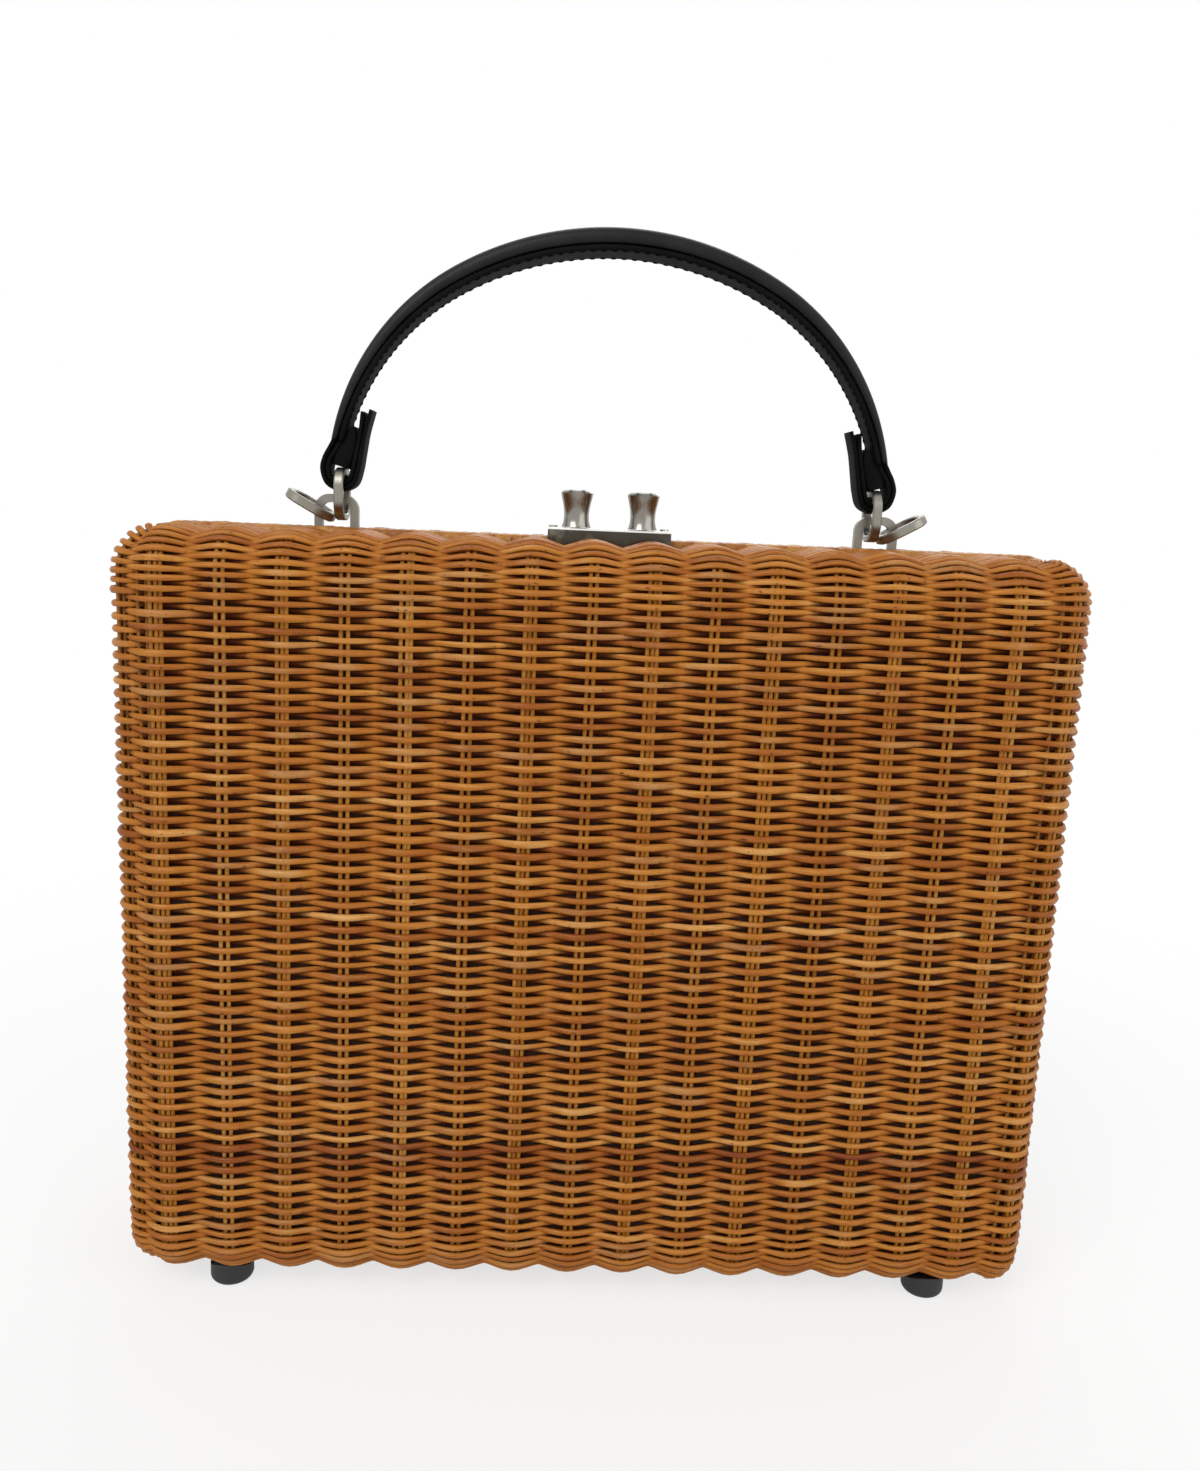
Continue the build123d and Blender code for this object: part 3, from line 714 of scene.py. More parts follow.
@dataclass
class WovenTray:
    """One tray's weave: pairs of stakes, and strands that pass over one pair and under the next."""

    half: Half
    form: TrayForm
    strand_finish: bpy.types.Material
    stake_finish: bpy.types.Material
    seed: int
    column_pitch: float = 18.3 * MM
    column_shift: float = -5.2 * MM
    row_pitch: float = 1.95 * MM
    edge_pitch: float = 1.5 * MM
    swing: float = 1.5 * MM
    strand_rise: float = 0.80 * MM
    strand_spread: float = 1.10 * MM
    stake_radius: float = 0.68 * MM
    pair: tuple[float, ...] = (-1.05 * MM, 1.05 * MM)
    triple: tuple[float, ...] = (-1.6 * MM, -0.1 * MM, 1.3 * MM)
    corner_stakes: tuple[float, ...] = (0.02, 0.2, 0.38, 0.56, 0.74, 0.92, 1.1, 1.28)
    corner_sink: float = 1.2 * MM
    # Painted shade on the corner stakes, which lie deeper than the others.
    corner_dip: float = 0.70
    valley: float = 0.8 * MM
    steps: int = 7
    around: int = 6
    columns: int = 10
    flat_margin: float = 6.0 * MM
    end_margin: float = 2.0 * MM
    swing_spread: float = 0.10
    row_stray: float = 0.20 * MM
    row_ease: float = 0.10 * MM
    row_thickness: float = 0.09
    place_thickness: float = 0.06
    narrowing: float = 0.16
    row_tint: float = 0.07
    place_tint: float = 0.12
    band_tint: float = 0.22
    turn_fibre: float = 5.0 * MM
    stake_around: int = 5
    stake_step: float = 3.9 * MM
    stake_stray: float = 0.12 * MM
    stake_tint: float = 0.6
    stake_tint_spread: float = 0.15
    stake_wall_share: float = 0.55
    gap_half: float = 0.0
    gap_depth: float = 0.0
    dark_band: tuple[float, float] = (45.0 * MM, 55.0 * MM)
    rng: np.random.Generator = field(init=False)

    def __post_init__(self) -> None:
        """Seeds the tray's own random draws."""
        self.rng = np.random.default_rng(self.seed)

    @property
    def shift(self) -> float:
        """Place of the middle column in this tray's own "across"."""
        return self.column_shift * self.half.value

    @property
    def flat_rows(self) -> int:
        """Rows from mid height to where the denser ones start, just before the rounded edge."""
        return int((self.form.core_z - self.flat_margin) / self.row_pitch)

    def row_heights(self, numbers: np.ndarray) -> np.ndarray:
        """Lengths up to rows by their numbers, evenly spaced on the flat and denser beyond it."""
        flat = np.minimum(np.abs(numbers), self.flat_rows)
        beyond = np.abs(numbers) - flat
        return np.sign(numbers) * (flat * self.row_pitch + beyond * self.edge_pitch)

    def rows_to(self, length: float) -> int:
        """Rows from mid height to a length that lies beyond the flat."""
        return self.flat_rows + int((length - self.flat_rows * self.row_pitch) / self.edge_pitch)

    @property
    def middle_radius(self) -> float:
        """Radius of the stakes' centres, so that strands over them reach the outer face."""
        return self.form.edge - self.swing - self.strand_rise

    def column_noise(self, rows: int, across: np.ndarray) -> np.ndarray:
        """Random values at each row's columns, eased between them by a cosine.

        Args:
            rows: Number of rows.
            across: Places along a row.

        Returns:
            Values from -1 to 1, shaped (rows, places).
        """
        columns = (across - self.shift) / self.column_pitch
        low = np.floor(columns.min())
        values = self.rng.uniform(-1.0, 1.0, (rows, int(np.ceil(columns.max()) - low) + 2))
        index = (columns - low).astype(int)
        ease = 0.5 - 0.5 * np.cos(np.pi * (columns - low - index))
        return values[:, index] * (1 - ease) + values[:, index + 1] * ease

    def strands(self, name: str, numbers: np.ndarray, across: np.ndarray) -> bpy.types.Object:
        """Weaves rows of strands.

        A row swings out and in as swing x cos(pi x (column + row number)).

        Args:
            name: The piece's name.
            numbers: Row numbers, counted from mid height upwards.
            across: Places along each row.

        Returns:
            The piece.
        """
        rows = len(numbers)
        column = (across - self.shift) / self.column_pitch
        wave = np.cos(np.pi * (column[None] + numbers[:, None]))
        swing = self.swing * (1 + self.swing_spread * self.column_noise(rows, across))
        stray = self.row_stray * self.column_noise(rows, across) - self.row_ease * wave
        up = self.row_heights(numbers)[:, None] + stray
        valley = self.valley * 0.5 * (1 - np.cos(2 * np.pi * column))
        radius = self.middle_radius + swing * wave - valley[None]
        path, normal = self.form.place(np.broadcast_to(across, up.shape), up, radius)
        thick = 1 + self.row_thickness * self.rng.standard_normal((rows, 1))
        thick = thick + self.place_thickness * self.column_noise(rows, across)
        spread = self.strand_spread * thick * (1 - self.narrowing + self.narrowing * np.abs(wave))
        points = rings(path, normal, self.strand_rise * thick, spread, self.around)
        tint = 0.5 + self.row_tint * self.rng.standard_normal((rows, 1))
        tint = tint + self.place_tint * self.column_noise(rows, across)
        height = path[..., 2]
        tint = tint - self.band_tint * ((height > self.dark_band[0]) & (height < self.dark_band[1]))
        # Painted shade: strands are darkened where they swing in under their neighbours.
        dip = 0.5 - 0.5 * wave
        fade = 0.5 + 0.5 * self.column_noise(rows, across)
        beside = numbers[:, None, None] * FIBRE_STEP + np.arange(self.around) / self.around * self.turn_fibre
        dye = np.stack([np.clip(tint, 0, 1), dip, fade], axis=-1)
        return self.finish(name, points, self.strand_finish, dye, across, beside)

    def stakes(
        self,
        name: str,
        places: np.ndarray,
        reach: float,
        dip: float = 0.60,
        sink: float = 0.0,
    ) -> bpy.types.Object:
        """Thin stakes that run up the front and over the edges.

        Args:
            name: The piece's name.
            places: Where they stand along "across".
            reach: How far up and down from mid height they run.
            dip: How deep they lie, from 0 to 1, which darkens them as painted shade.
            sink: How far below the middle of the weave they lie.

        Returns:
            The piece.
        """
        places = places + self.stake_stray * self.rng.standard_normal(places.size)
        up = np.linspace(-reach, reach, int(2 * reach / self.stake_step) + 1)
        shape = (len(places), len(up))
        across = np.broadcast_to(places[:, None], shape)
        radius = np.full(shape, self.middle_radius - sink)
        path, normal = self.form.place(across, np.broadcast_to(up[None], shape), radius)
        size = np.full(shape, self.stake_radius)
        points = rings(path, normal, size, size, self.stake_around)
        tint = self.stake_tint + self.stake_tint_spread * self.rng.standard_normal((len(places), 1))
        # The stakes carry an even painted shade, as they lie under the strands.
        dye = np.stack([np.broadcast_to(tint, shape), np.full(shape, dip), np.zeros(shape)], axis=-1)
        beside = np.arange(len(places))[:, None, None] * FIBRE_STEP + np.arange(self.stake_around) * MM
        return self.finish(name, points, self.stake_finish, dye, up, beside)

    def finish(
        self,
        name: str,
        points: np.ndarray,
        material: bpy.types.Material,
        dye: np.ndarray,
        along: np.ndarray,
        beside: np.ndarray,
    ) -> bpy.types.Object:
        """Turns tubes to this tray's side, writes them and settles the piece.

        Args:
            name: The piece's name after the tray's.
            points: Rings of points, shaped (tubes, along, around, 3).
            material: The finish.
            dye: Tint, painted shade in the dips and fading, shaped (tubes, along, 3).
            along: Lengths along the tubes, for the fibre.
            beside: Lengths round them, shaped (tubes, 1, around).

        Returns:
            The piece.
        """
        shape = points.shape[:3]
        uv = np.stack([np.broadcast_to(along[None, :, None], shape), np.broadcast_to(beside, shape)], axis=-1)
        tints_and_shades = np.broadcast_to(dye[:, :, None], (*shape, 3))
        turned = points * self.half.signs
        piece = Piece.tubes(f"{self.half.body}_{name}", turned, material, uv, tints_and_shades)
        return Piece.settle(piece, self.half.body, "rattan")

    def build(self) -> None:
        """Weaves the front and sides, the top and bottom walls, and the stakes."""
        form = self.form
        step = self.column_pitch / self.steps
        far = form.core_x + form.turn + form.wall
        round_across = np.linspace(-far, far, int(2 * far / step) + 1)
        edge_row = self.rows_to(form.core_z + form.turn)
        wall_row = self.rows_to(form.core_z + form.turn + form.wall)
        upper = self.strands("weave_upper", np.arange(1, edge_row + 1), round_across)
        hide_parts(f"{self.half.body}_shell")
        self.strands("weave_lower", np.arange(-edge_row, 1), round_across)
        end = form.core_x + self.end_margin
        straight = np.linspace(-end, end, int(2 * end / step) + 1)
        walls = np.arange(edge_row + 1, wall_row + 1)
        self.strands("weave_bottom", -walls, straight)
        depth = form.core_y - (self.row_heights(walls) - form.core_z - form.turn)
        cut = depth < self.gap_depth
        if self.gap_half and cut.any():
            self.strands("weave_top", walls[~cut], straight)
            short = straight[straight > self.gap_half]
            self.strands("weave_top_right", walls[cut], short)
            self.strands("weave_top_left", walls[cut], -short[::-1])
        else:
            self.strands("weave_top", walls, straight)
        columns = np.arange(-self.columns, self.columns + 1)
        middles = self.shift + columns * self.column_pitch
        pairs = (middles[columns % 2 == 0][:, None] + np.array(self.pair)).reshape(-1)
        triples = (middles[columns % 2 == 1][:, None] + np.array(self.triple)).reshape(-1)
        places = np.concatenate([pairs, triples])
        front = np.abs(places) < form.core_x
        reach = form.core_z + form.turn
        self.stakes("stakes_front", places[front], reach + form.wall * self.stake_wall_share)
        corners = form.core_x + form.turn * np.array(self.corner_stakes)
        sides = places[~front & (np.abs(places) < far - self.end_margin)]
        self.stakes("stakes_sides", sides, reach)
        corners = np.concatenate([corners, -corners])
        self.stakes("stakes_corners", corners, reach, self.corner_dip, self.corner_sink)


@dataclass
class CaneRim:
    """A tray's rim: a rounded bar bound with slanting turns of flat cane.

    The loop is a rounded rectangle in XZ. Each turn of cane swells the bar by the root of a half sine,
    except towards the seam, where the two rims nearly meet.
    """

    half: Half
    finish: bpy.types.Material
    seed: int
    bind: float = 3.4 * MM
    swell: float = 0.35 * MM
    slant: float = 1.2 * MM
    corner: float = 12.0 * MM
    samples: int = 6
    around: int = 16
    square: float = 0.6
    tints: Span = (0.25, 0.9)
    # Depth of the painted shade in the grooves between the turns of cane.
    dip: float = 0.72
    seam_share: float = 0.45

    def loop(self, low: Vector, high: Vector) -> tuple[np.ndarray, np.ndarray, np.ndarray]:
        """The bar's centre line.

        Args:
            low: Lowest corner of the rim's box.
            high: Highest corner.

        Returns:
            Points, outward normals in XZ, and the length along the loop.
        """
        inset = (high.y - low.y) / 2
        radius = self.corner - inset
        half_x = (high.x - low.x) / 2 - inset - radius
        half_z = (high.z - low.z) / 2 - inset - radius
        quarter = radius * np.pi / 2
        runs = np.array([2 * half_z, quarter, 2 * half_x, quarter] * 2)
        ends = np.cumsum(runs)
        turns = int(round(ends[-1] / self.bind))
        s = np.linspace(0.0, ends[-1], turns * self.samples, endpoint=False)
        bend = np.interp(s, np.concatenate([[0], ends]), np.repeat(np.arange(5), 2)[:9] * np.pi / 2)
        normal = np.stack([np.cos(bend), np.zeros_like(s), np.sin(bend)], axis=-1)
        x_keys = np.array([1, 1, 1, -1, -1, -1, -1, 1, 1]) * half_x
        z_keys = np.array([-1, 1, 1, 1, 1, -1, -1, -1, -1]) * half_z
        keys = np.concatenate([[0], ends])
        core = np.stack([np.interp(s, keys, x_keys), np.zeros_like(s), np.interp(s, keys, z_keys)], axis=-1)
        middle = np.array([(low.x + high.x) / 2, (low.y + high.y) / 2, (low.z + high.z) / 2])
        return middle + core + radius * normal, normal, s

    def build(self) -> None:
        """Binds the rim and settles it."""
        node = f"{self.half.body}_rim"
        low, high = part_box(node)
        path, normal, s = self.loop(low, high)
        rng = np.random.default_rng(self.seed)
        size = (high.y - low.y) / 2
        turn = np.linspace(0.0, 2 * np.pi, self.around, endpoint=False)
        lean = s[:, None] / self.bind + self.slant / self.bind * np.sin(turn)[None]
        number = np.floor(lean)
        bulge = np.sqrt(np.abs(np.sin(np.pi * lean)))
        swell = self.swell * bulge
        out = blunt(np.sin(turn), self.square)
        lift = (size - self.swell + swell) * blunt(np.cos(turn), self.square)[None]
        reach = (size - self.swell + swell) * out[None]
        seam = (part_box("back_rim")[0].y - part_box("front_rim")[1].y) * self.seam_share
        towards = self.half.value
        reach = reach + towards * (seam + self.swell - swell) * np.clip(out * towards, 0.0, 1.0)[None]
        points = path[:, None] + lift[..., None] * normal[:, None] + reach[..., None] * Y_AXIS
        tints = rng.uniform(*self.tints, int(number.max() - number.min()) + 1)
        tint = tints[(number - number.min()).astype(int)]
        # Painted shade in the grooves between turns of cane, strongest where the bulge is lowest.
        dye = np.stack([tint, self.dip - self.dip * bulge, np.zeros_like(tint)], axis=-1)
        beside = number * FIBRE_STEP + turn[None] * size
        uv = np.stack([beside, np.broadcast_to(s[:, None], lean.shape)], axis=-1)
        piece = Piece.tubes(f"{node}_cane", points[None], self.finish, uv[None], dye[None], wrap=True)
        Piece.settle(piece, self.half.body, "cane_rim", node)


@dataclass
class Handle:
    """Leather handle: a crowned cover sewn on a flat strap, with folded ends round the rings.

    Its line is a crown arc between two shoulder arcs, given by the turn from the vertical.
    """

    leather: bpy.types.Material
    # Darker copy of the cover leather, painted shade for the underside; folded ends and throats use it too.
    strap_leather: bpy.types.Material
    thread: bpy.types.Material
    crown_radius: float = 100.0 * MM
    crown_turn: float = np.radians(30.0)
    shoulder_turn: float = np.radians(80.0)
    leg_rise: float = 9.0 * MM
    out: float = 4.7 * MM
    thickness: float = 7.6 * MM
    end_thickness: float = 4.2 * MM
    strap_thickness: float = 2.0 * MM
    sew_gap: float = 0.1 * MM
    width: float = 15.0 * MM
    end_width: float = 12.0 * MM
    leg_x: float = 87.9 * MM
    loop_z: float = 266.8 * MM
    loop_width: float = 10.0 * MM
    stitch: float = 2.3 * MM
    stitch_pitch: float = 3.3 * MM
    stitch_stretch: float = 1.05
    stitch_steps: int = 7
    stitch_lift: float = 0.05 * MM
    stitch_sag: float = 0.18 * MM
    stitch_inset: float = 1.5 * MM
    stitch_blunt: float = 0.05
    sewn_share: float = 0.97
    sewn_length: float = 0.93
    thread_radius: float = 0.22 * MM
    thread_around: int = 6
    cover_crown: float = 0.75
    strap_crown: float = 0.25
    strap_slack: float = 0.3 * MM
    band_steps: int = 19
    band_shoulder: float = 0.22
    band_square: float = 0.55
    strip_steps: int = 8
    strip_around: int = 16
    strip_square: float = 0.45
    outer_less: float = 0.3 * MM
    throat_less: float = 0.8 * MM
    samples: int = 160
    y: float = field(init=False)

    def __post_init__(self) -> None:
        """Finds the handle's plane."""
        low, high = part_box("handle_strap")
        self.y = (low.y + high.y) / 2

    def arc(self, turn: np.ndarray, offset: np.ndarray) -> tuple[np.ndarray, np.ndarray]:
        """Points of the handle's line, moved outwards by an offset.

        Args:
            turn: Turn from the vertical, negative to the left.
            offset: Distance out from the centre line.

        Returns:
            Points shaped (..., 3) and outward normals.
        """
        leg_x = self.leg_x - self.leg_rise / np.tan(self.shoulder_turn)
        leg_z = self.loop_z + self.leg_rise
        crown, shoulder = self.crown_turn, self.shoulder_turn
        radius = (leg_x - self.crown_radius * np.sin(crown)) / (np.sin(shoulder) - np.sin(crown))
        drop = radius * (np.cos(crown) - np.cos(shoulder))
        top = leg_z + self.crown_radius * (1 - np.cos(crown)) + drop
        shift = self.crown_radius - radius
        outer = np.abs(turn) > crown
        size = np.where(outer, radius, self.crown_radius) + offset
        x = np.where(outer, np.sign(turn) * shift * np.sin(crown), 0.0)
        z = top - self.crown_radius + np.where(outer, shift * np.cos(crown), 0.0)
        normal = np.stack([np.sin(turn), np.zeros_like(turn), np.cos(turn)], axis=-1)
        centre = np.stack([x, np.full_like(x, self.y), z], axis=-1)
        return centre + size[..., None] * normal, normal

    def half_width(self, x: np.ndarray) -> np.ndarray:
        """Half the handle's width, narrowing to the ends with the square of x."""
        return self.width / 2 - (self.width - self.end_width) / 2 * (x / self.leg_x) ** 2

    def depth(self, turn: np.ndarray, above: float) -> np.ndarray:
        """Offset of what lies so far above the underside, which closes on the top towards the ends."""
        share = (turn / self.shoulder_turn) ** 2
        return self.out - self.thickness - (self.end_thickness - self.thickness) * share + above

    def band(self, base: np.ndarray, top: np.ndarray, crown: float, slack: float) -> np.ndarray:
        """A closed band along the handle.

        The section goes over the top as shoulder + (1 - shoulder) x sin^crown of its rise, with the half
        width x cos^band_square, and returns flat along the base.

        Args:
            base: Offsets of the underside from the centre line, one for each sample.
            top: Offsets of the top.
            crown: Power of the crown; a small one is boxy.
            slack: How much narrower than the handle the band is.

        Returns:
            Points shaped (1, along, around, 3).
        """
        turn = np.linspace(-self.shoulder_turn, self.shoulder_turn, self.samples)
        middle, normal = self.arc(turn, np.zeros_like(turn))
        half = self.half_width(middle[:, 0]) - slack
        over = np.linspace(0.0, np.pi, self.band_steps)
        under = np.array(BAND_UNDERSIDE)
        wide = np.concatenate([blunt(np.cos(over), self.band_square), under[:, 0]])
        high = self.band_shoulder + (1 - self.band_shoulder) * np.sin(over) ** crown
        high = np.concatenate([high, under[:, 1]])
        lift = base[:, None] + (top - base)[:, None] * high[None]
        reach = (half[:, None] * wide[None])[..., None] * Y_AXIS
        return (middle[:, None] + lift[..., None] * normal[:, None] + reach)[None]

    def stitches(self) -> np.ndarray:
        """Rows of stitches under the strap, each a thread that dips at both ends."""
        length = 2 * self.shoulder_turn * self.crown_radius * self.sewn_length
        start = np.linspace(-self.sewn_share, self.sewn_share, int(length / self.stitch_pitch))
        along = np.linspace(-0.5, 0.5, self.stitch_steps)
        ahead = along[None] * self.stitch / self.crown_radius * self.stitch_stretch
        turn = (start * self.shoulder_turn)[:, None] + ahead
        lift = self.depth(turn, self.stitch_lift) - self.stitch_sag * np.cos(np.pi * along)[None]
        path, normal = self.arc(turn, lift)
        taper = np.sqrt(np.clip(1 + self.stitch_blunt - (2 * along) ** 2, self.stitch_blunt, 1))
        size = np.broadcast_to(self.thread_radius * taper, turn.shape)
        threads = []
        for way in (-1.0, 1.0):
            row = path.copy()
            row[..., 1] += way * (self.half_width(row[..., 0]) - self.stitch_inset)
            threads.append(rings(row, normal, size, size, self.thread_around))
        return np.concatenate(threads)

    def strip(self, keys: np.ndarray, width: float, side: Side) -> np.ndarray:
        """A leather strip of rounded section along key points in XZ, mirrored for the left.

        Args:
            keys: Key points (x, z, thickness) of the right-hand strip.
            width: Its width along Y.
            side: The handle's end.

        Returns:
            Points shaped (1, along, around, 3).
        """
        line = smooth_path(keys, self.strip_steps * len(keys))
        path = np.stack([line[:, 0] * side.value, np.full(len(line), self.y), line[:, 1]], axis=-1)[None]
        across = np.zeros_like(path)
        across[..., 1] = 1.0
        wide = np.full(path.shape[:2], width / 2)
        return rings(path, across, wide, line[None, :, 2] / 2, self.strip_around, self.strip_square)

    def end(self, side: Side) -> None:
        """The folded end: two layers round the ring's bar with a loose tail, and a throat above it."""
        start = np.array([self.leg_x / MM, self.loop_z / MM, 0.0])
        cuts = ((LOOP_INNER, 0.0), (LOOP_OUTER, self.outer_less), (LOOP_THROAT, self.throat_less))
        layers = [
            self.strip((start + np.array(keys)) * MM, self.loop_width - less, side) for keys, less in cuts
        ]
        node = f"handle_loop_{side.word}"
        folded = Piece.tubes(f"{node}_leather", np.concatenate(layers[:2]), self.strap_leather)
        Piece.settle(folded, "handle", "leather_black", node)
        filled = Piece.tubes(f"handle_throat_{side.word}", layers[2], self.strap_leather)
        Piece.settle(filled, "handle", "leather_black")

    def build(self) -> None:
        """Makes the cover, the strap, the stitches and both folded ends."""
        turn = np.linspace(-self.shoulder_turn, self.shoulder_turn, self.samples)
        seam = self.depth(turn, self.strap_thickness)
        cover_points = self.band(seam + self.sew_gap, np.full_like(turn, self.out), self.cover_crown, 0.0)
        cover = Piece.tubes("handle_cover_leather", cover_points, self.leather)
        Piece.settle(cover, "handle", "leather_black", "handle_cover")
        strap_points = self.band(self.depth(turn, 0.0), seam, self.strap_crown, self.strap_slack)
        strap = Piece.tubes("handle_strap_leather", strap_points, self.strap_leather)
        Piece.settle(strap, "handle", "leather_black", "handle_strap")
        Piece.settle(Piece.tubes("handle_stitches", self.stitches(), self.thread), "handle", "leather_black")
        for side in Side:
            self.end(side)


@dataclass
class Lining:
    """Cotton lining of a tray: one cloth round front, sides and edges, and strips on top and bottom walls.

    The cloths lie between two radii of the tray's form and ripple by a small wave.
    """

    half: Half
    form: TrayForm
    cloth: bpy.types.Material
    outer: float = 9.5 * MM
    thickness: float = 0.8 * MM
    tuck: float = 3.0 * MM
    ripple: float = 0.12 * MM
    wave_across: float = 23.0 * MM
    wave_up: float = 31.0 * MM
    wave_bend: float = 1.7
    clearance: float = 0.1 * MM
    step: float = 4.0 * MM

    def cut(self, name: str, across: np.ndarray, up: np.ndarray, outer: float, *nodes: str) -> None:
        """Args:
            name: The piece's name after the tray's.
            across: Places across, as a row of the cloth's grid.
            up: Places up, as a column of it.
            outer: Radius of its outer face.
            nodes: CAD nodes that it stands for.
        """
        places, heights = np.meshgrid(across, up, indexing="ij")
        wave = np.sin(places / self.wave_across + self.wave_bend * np.sin(heights / self.wave_up))
        faces = []
        for depth in (0.0, self.thickness):
            radius = outer - depth - self.ripple * (1 - wave)
            faces.append(self.form.place(places, heights, radius)[0])
        grid = faces[0]
        sides = np.cross(grid[1:, :-1] - grid[:-1, :-1], grid[:-1, 1:] - grid[:-1, :-1])
        turned = np.concatenate([faces[0], faces[1][:, ::-1]], axis=1) * self.half.signs
        piece = Piece.tubes(f"{self.half.body}_{name}", turned[None], self.cloth)
        Piece.settle(piece, self.half.body, "lining", *nodes)

    def places(self, low: float, high: float) -> np.ndarray:
        """Evenly spaced places between two limits."""
        return np.linspace(low, high, int((high - low) / self.step) + 2)

    def build(self) -> None:
        """Cuts the three cloths of the tray."""
        form = self.form
        far = form.core_x + form.turn + form.wall
        edge = form.core_z + form.turn
        node = f"{self.half.body}_lining"
        self.cut("lining_main", self.places(-far, far), self.places(-edge, edge), self.outer, node)
        inside = self.outer - self.thickness - 2 * self.ripple - self.clearance
        straight = self.places(-form.core_x, form.core_x)
        strip = self.places(edge - self.tuck, edge + form.wall)
        self.cut("lining_top", straight, strip, inside)
        self.cut("lining_bottom", straight, -strip[::-1], inside)


@dataclass
class Fittings:
    """CAD nodes that keep their shape and take a finish of their own."""

    finishes: dict[str, bpy.types.Material]

    def dress(self) -> None:
        """Gives every shown node the finish whose key starts its name, the longest key first."""
        keys = sorted(self.finishes, key=len, reverse=True)
        for name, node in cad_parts.items():
            key = next((k for k in keys if name.startswith(k)), None)
            if key is None or node.hide_render:
                continue
            node.data.materials.clear()
            node.data.materials.append(self.finishes[key])
            LOG.info("%s: %s", name, self.finishes[key].name)


@dataclass(frozen=True)
class Lamp:
    """A square area lamp: its place, the length of its side and its power."""

    name: str
    place: Triple
    size: float
    power: float

    def hang(self, aim: Triple) -> None:
        """Adds the lamp, turned to look at a point."""
        data = bpy.data.lights.new(self.name, "AREA")
        data.size = self.size
        data.energy = self.power
        lamp = bpy.data.objects.new(self.name, data)
        lamp.location = self.place
        ahead = Vector(aim) - Vector(self.place)
        lamp.rotation_euler = ahead.to_track_quat("-Z", "Y").to_euler()
        bpy.context.scene.collection.objects.link(lamp)


@dataclass
class Studio:
    """Pale floor, soft lamps and the camera at the photograph's place."""

    eye: Triple = (-0.0147, -0.4019, 0.2561)
    pitch: float = np.radians(10.4)
    yaw: float = np.radians(2.11)
    roll: float = np.radians(2.42)
    lens_px: float = 1200.0
    frame_px: float = 1471.0
    sensor: float = 36.0
    near: float = 0.01
    aim: Triple = (0.0, 0.0, 0.15)
    lamps: tuple[Lamp, ...] = (
        Lamp("key", (-0.7, -1.1, 1.3), 0.9, 14.0),
        Lamp("fill", (1.0, -0.8, 0.7), 1.2, 5.0),
        Lamp("rim_light", (0.2, 1.0, 1.0), 0.9, 5.0),
    )
    world_light: float = 0.55
    floor_size: float = 12.0
    floor_tone: tuple[float, ...] = (0.86, 0.86, 0.85, 1.0)
    shadow_span: Span = (0.12, 0.55)
    shadow_white: float = 0.72

    def camera(self) -> None:
        """Sets the camera by its eye, its pitch, yaw and roll, and the lens in pixels of the frame."""
        ahead = Vector(
            (
                np.sin(self.yaw) * np.cos(self.pitch),
                np.cos(self.yaw) * np.cos(self.pitch),
                -np.sin(self.pitch),
            )
        )
        right = Vector((np.cos(self.yaw), -np.sin(self.yaw), 0.0))
        up = right.cross(ahead)
        across = right * np.cos(self.roll) + up * np.sin(self.roll)
        upright = up * np.cos(self.roll) - right * np.sin(self.roll)
        data = bpy.data.cameras.new("camera")
        data.sensor_fit = "VERTICAL"
        data.sensor_height = self.sensor
        data.lens = self.lens_px * self.sensor / self.frame_px
        data.clip_start = self.near
        camera = bpy.data.objects.new("camera", data)
        turn = Matrix((across, upright, -ahead)).transposed().to_4x4()
        camera.matrix_world = Matrix.Translation(self.eye) @ turn
        bpy.context.scene.collection.objects.link(camera)
        bpy.context.scene.camera = camera

    def floor(self) -> None:
        """A wide floor whose shadow fades into white away from the case."""
        half = self.floor_size / 2
        corners = [(-half, -half, 0), (half, -half, 0), (half, half, 0), (-half, half, 0)]
        mesh = bpy.data.meshes.new("floor")
        mesh.from_pydata(corners, [], [(0, 1, 2, 3)])
        shade = Shade("pale_floor")
        shade.set(Base_Color=self.floor_tone, Roughness=0.9, Specular_IOR_Level=0.1)
        where = shade.node("ShaderNodeTexCoord", output="Object")
        away = shade.node("ShaderNodeVectorMath", {"operation": "LENGTH"}, {0: where}, "Value")
        share = shade.seen() * shade.span(away, *self.shadow_span, self.shadow_white, 1.0)
        white = shade.node("ShaderNodeEmission", {}, {"Color": WHITE, "Strength": 1.0})
        blend = shade.node("ShaderNodeMixShader", {}, {0: share, 1: shade.shader, 2: white})
        shade.tree.links.new(blend.socket, shade.output.inputs["Surface"])
        mesh.materials.append(shade.material)
        floor = bpy.data.objects.new("floor", mesh)
        bpy.context.scene.collection.objects.link(floor)

    def world(self) -> None:
        """White where it is seen, and a plain soft light elsewhere."""
        world = bpy.data.worlds.new("studio")
        world.use_nodes = True
        bpy.context.scene.world = world
        tree = Tree(world.node_tree)
        plain, white = (
            tree.node("ShaderNodeBackground", {}, {"Color": WHITE, "Strength": strength})
            for strength in (self.world_light, 1.0)
        )
        blend = tree.node("ShaderNodeMixShader", {}, {0: tree.seen(), 1: plain, 2: white})
        tree.node("ShaderNodeOutputWorld", {}, {"Surface": blend}, None)

    def build(self) -> None:
        """Sets the camera, the floor, the world and the lamps."""
        self.camera()
        self.floor()
        self.world()
        for lamp in self.lamps:
            lamp.hang(self.aim)
        bpy.context.scene.view_settings.view_transform = "Standard"


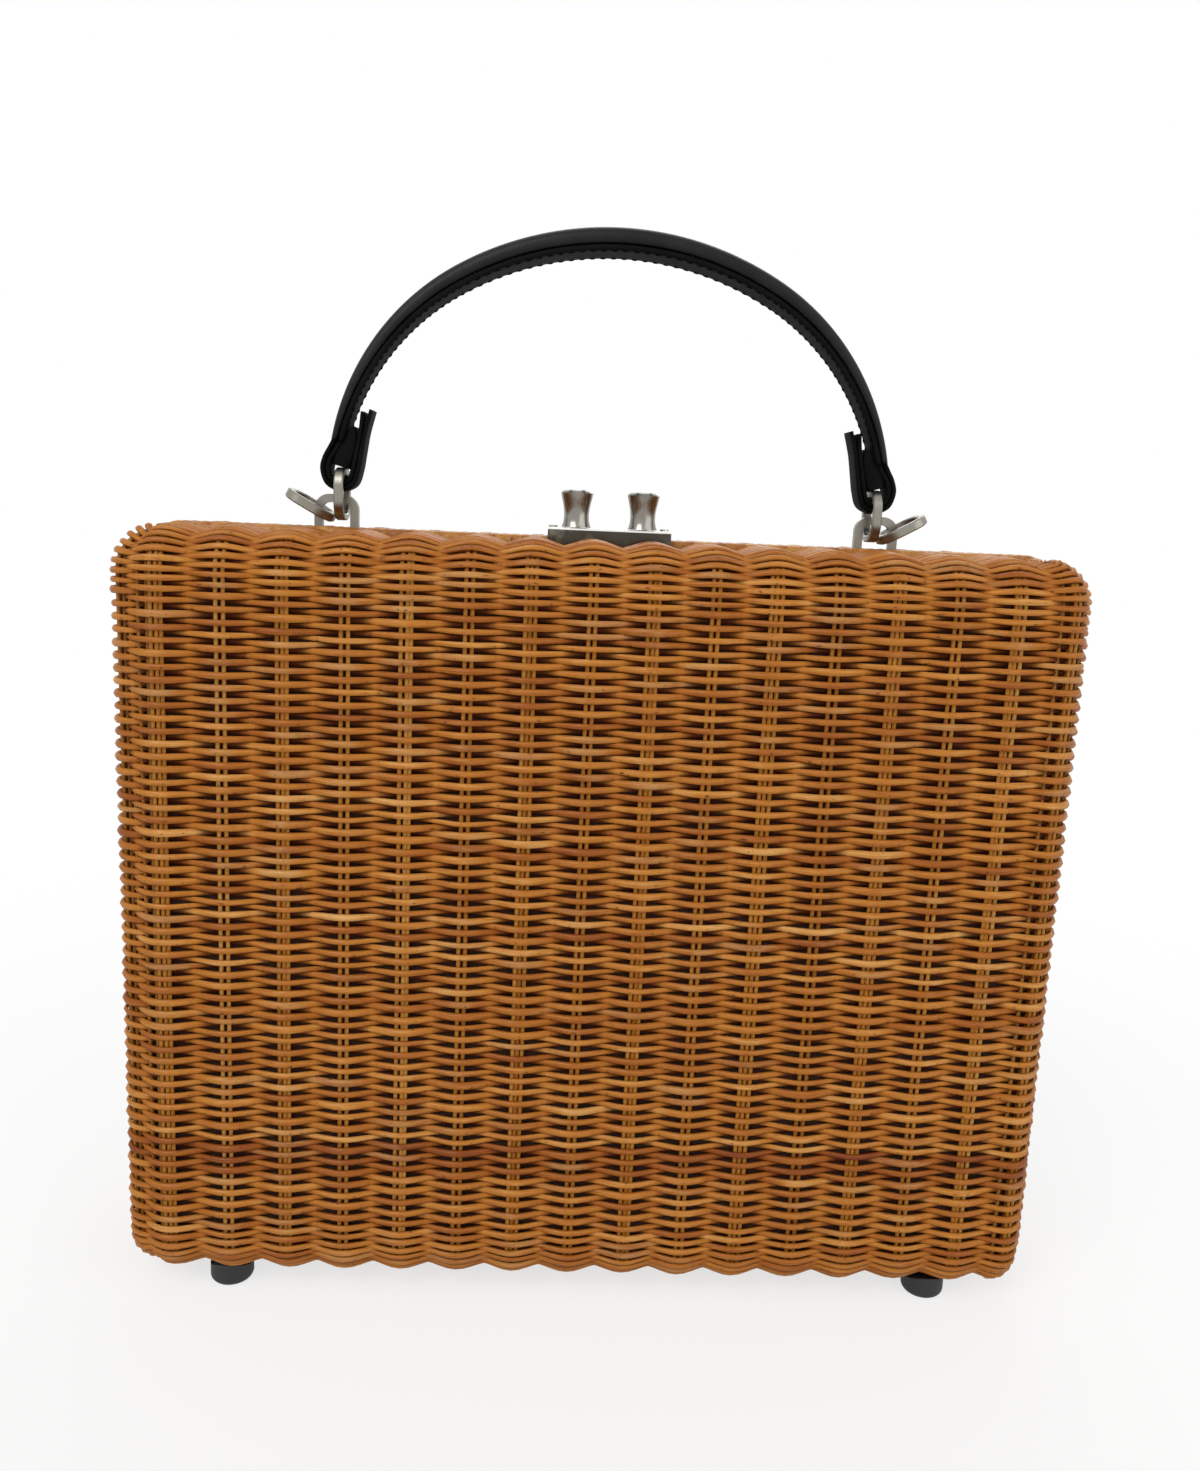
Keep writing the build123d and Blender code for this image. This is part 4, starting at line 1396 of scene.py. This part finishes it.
def main() -> None:
    """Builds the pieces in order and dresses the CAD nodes."""
    logging.basicConfig(level=logging.INFO)
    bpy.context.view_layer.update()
    for name in ("Cube", "Light", "Camera"):
        stray = bpy.data.objects.get(name)
        if stray is not None:
            bpy.data.objects.remove(stray)
    Studio().build()
    rattan = RattanFinish(
        "rattan_strands",
        (
            (0.05, (0.170, 0.032, 0.003)),
            (0.35, (0.300, 0.084, 0.007)),
            (0.62, (0.450, 0.168, 0.022)),
            (0.92, (0.700, 0.400, 0.135)),
        ),
    ).make()
    stake = RattanFinish(
        "rattan_stakes",
        ((0.2, (0.34, 0.115, 0.012)), (0.6, (0.54, 0.22, 0.030)), (1.0, (0.70, 0.37, 0.085))),
    ).make()
    cane = RattanFinish(
        "flat_cane",
        ((0.1, (0.22, 0.065, 0.011)), (0.5, (0.36, 0.14, 0.026)), (1.0, (0.50, 0.24, 0.060))),
        coat=0.3,
    ).make()
    low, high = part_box("front_shell")
    form = TrayForm(half_width=high.x, depth=-low.y, bottom=low.z, top=high.z)
    clasp_low, clasp_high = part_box("clasp_base")
    WovenTray(
        Half.FRONT,
        form,
        rattan,
        stake,
        seed=11,
        gap_half=clasp_high.x + CLASP_SIDE_ROOM,
        gap_depth=CLASP_FRONT_ROOM - clasp_low.y,
    ).build()
    WovenTray(Half.BACK, form, rattan, stake, seed=23).build()
    CaneRim(Half.FRONT, cane, seed=5).build()
    CaneRim(Half.BACK, cane, seed=6).build()
    leather = LeatherFinish("leather_cover").make()
    # A darker copy of the cover leather: painted shade for the handle's underside, on the ends as well.
    strap = LeatherFinish("leather_strap", rubbed=(0.006, 0.006, 0.006), roughness=0.65, gloss=0.05).make()
    thread = LeatherFinish(
        "black_thread", rubbed=(0.003, 0.003, 0.003), grain=2600.0, roughness=0.8, gloss=0.05
    ).make()
    Handle(leather, strap, thread).build()
    plate = MetalFinish(
        "clasp_plate",
        (0.070, 0.063, 0.050),
        roughness=0.22,
        smudge=0.25,
        tarnish=(0.26, 0.24, 0.19),
        tarnish_share=0.8,
        bright_from=clasp_high.z - PLATE_HIGHLIGHT,
    ).make()
    satin = MetalFinish("satin_nickel", (0.27, 0.255, 0.22), 0.34, 0.16).make()
    polished = MetalFinish("polished_nickel", (0.42, 0.40, 0.36), 0.12, 0.20).make()
    knob = MetalFinish(
        "knob_nickel",
        (0.27, 0.255, 0.225),
        roughness=0.20,
        smudge=0.25,
        brush=(800.0, 800.0, 260.0),
        depth=0.08 * MM,
        tarnish=(0.06, 0.055, 0.05),
        tarnish_share=0.85,
        bright_from=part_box("knob_left")[1].z - KNOB_HIGHLIGHT,
    ).make()
    steel = MetalFinish("bright_steel", (0.55, 0.55, 0.55), 0.28, 0.18).make()
    rubber = RubberFinish("foot_rubber").make()
    cloth = ClothFinish("lining_cotton", (0.034, 0.007, 0.001), (0.050, 0.012, 0.002)).make()
    lining_form = replace(form, turn_radius=LINING_TURN)
    for half in Half:
        Lining(half, lining_form, cloth).build()
    Fittings(
        {
            "foot_": rubber,
            "handle_ring_": satin,
            "strap_ring_": satin,
            "eye_": satin,
            "eye_washers": steel,
            "clasp_": polished,
            "clasp_base": plate,
            "knob_": knob,
            "bolt_": steel,
            "catch_rivets": steel,
            "latch_spring_": steel,
            "hinge_": steel,
            "front_hinge_screws": steel,
            "back_hinge_screws": steel,
        }
    ).dress()


if __name__ == "__main__":
    main()
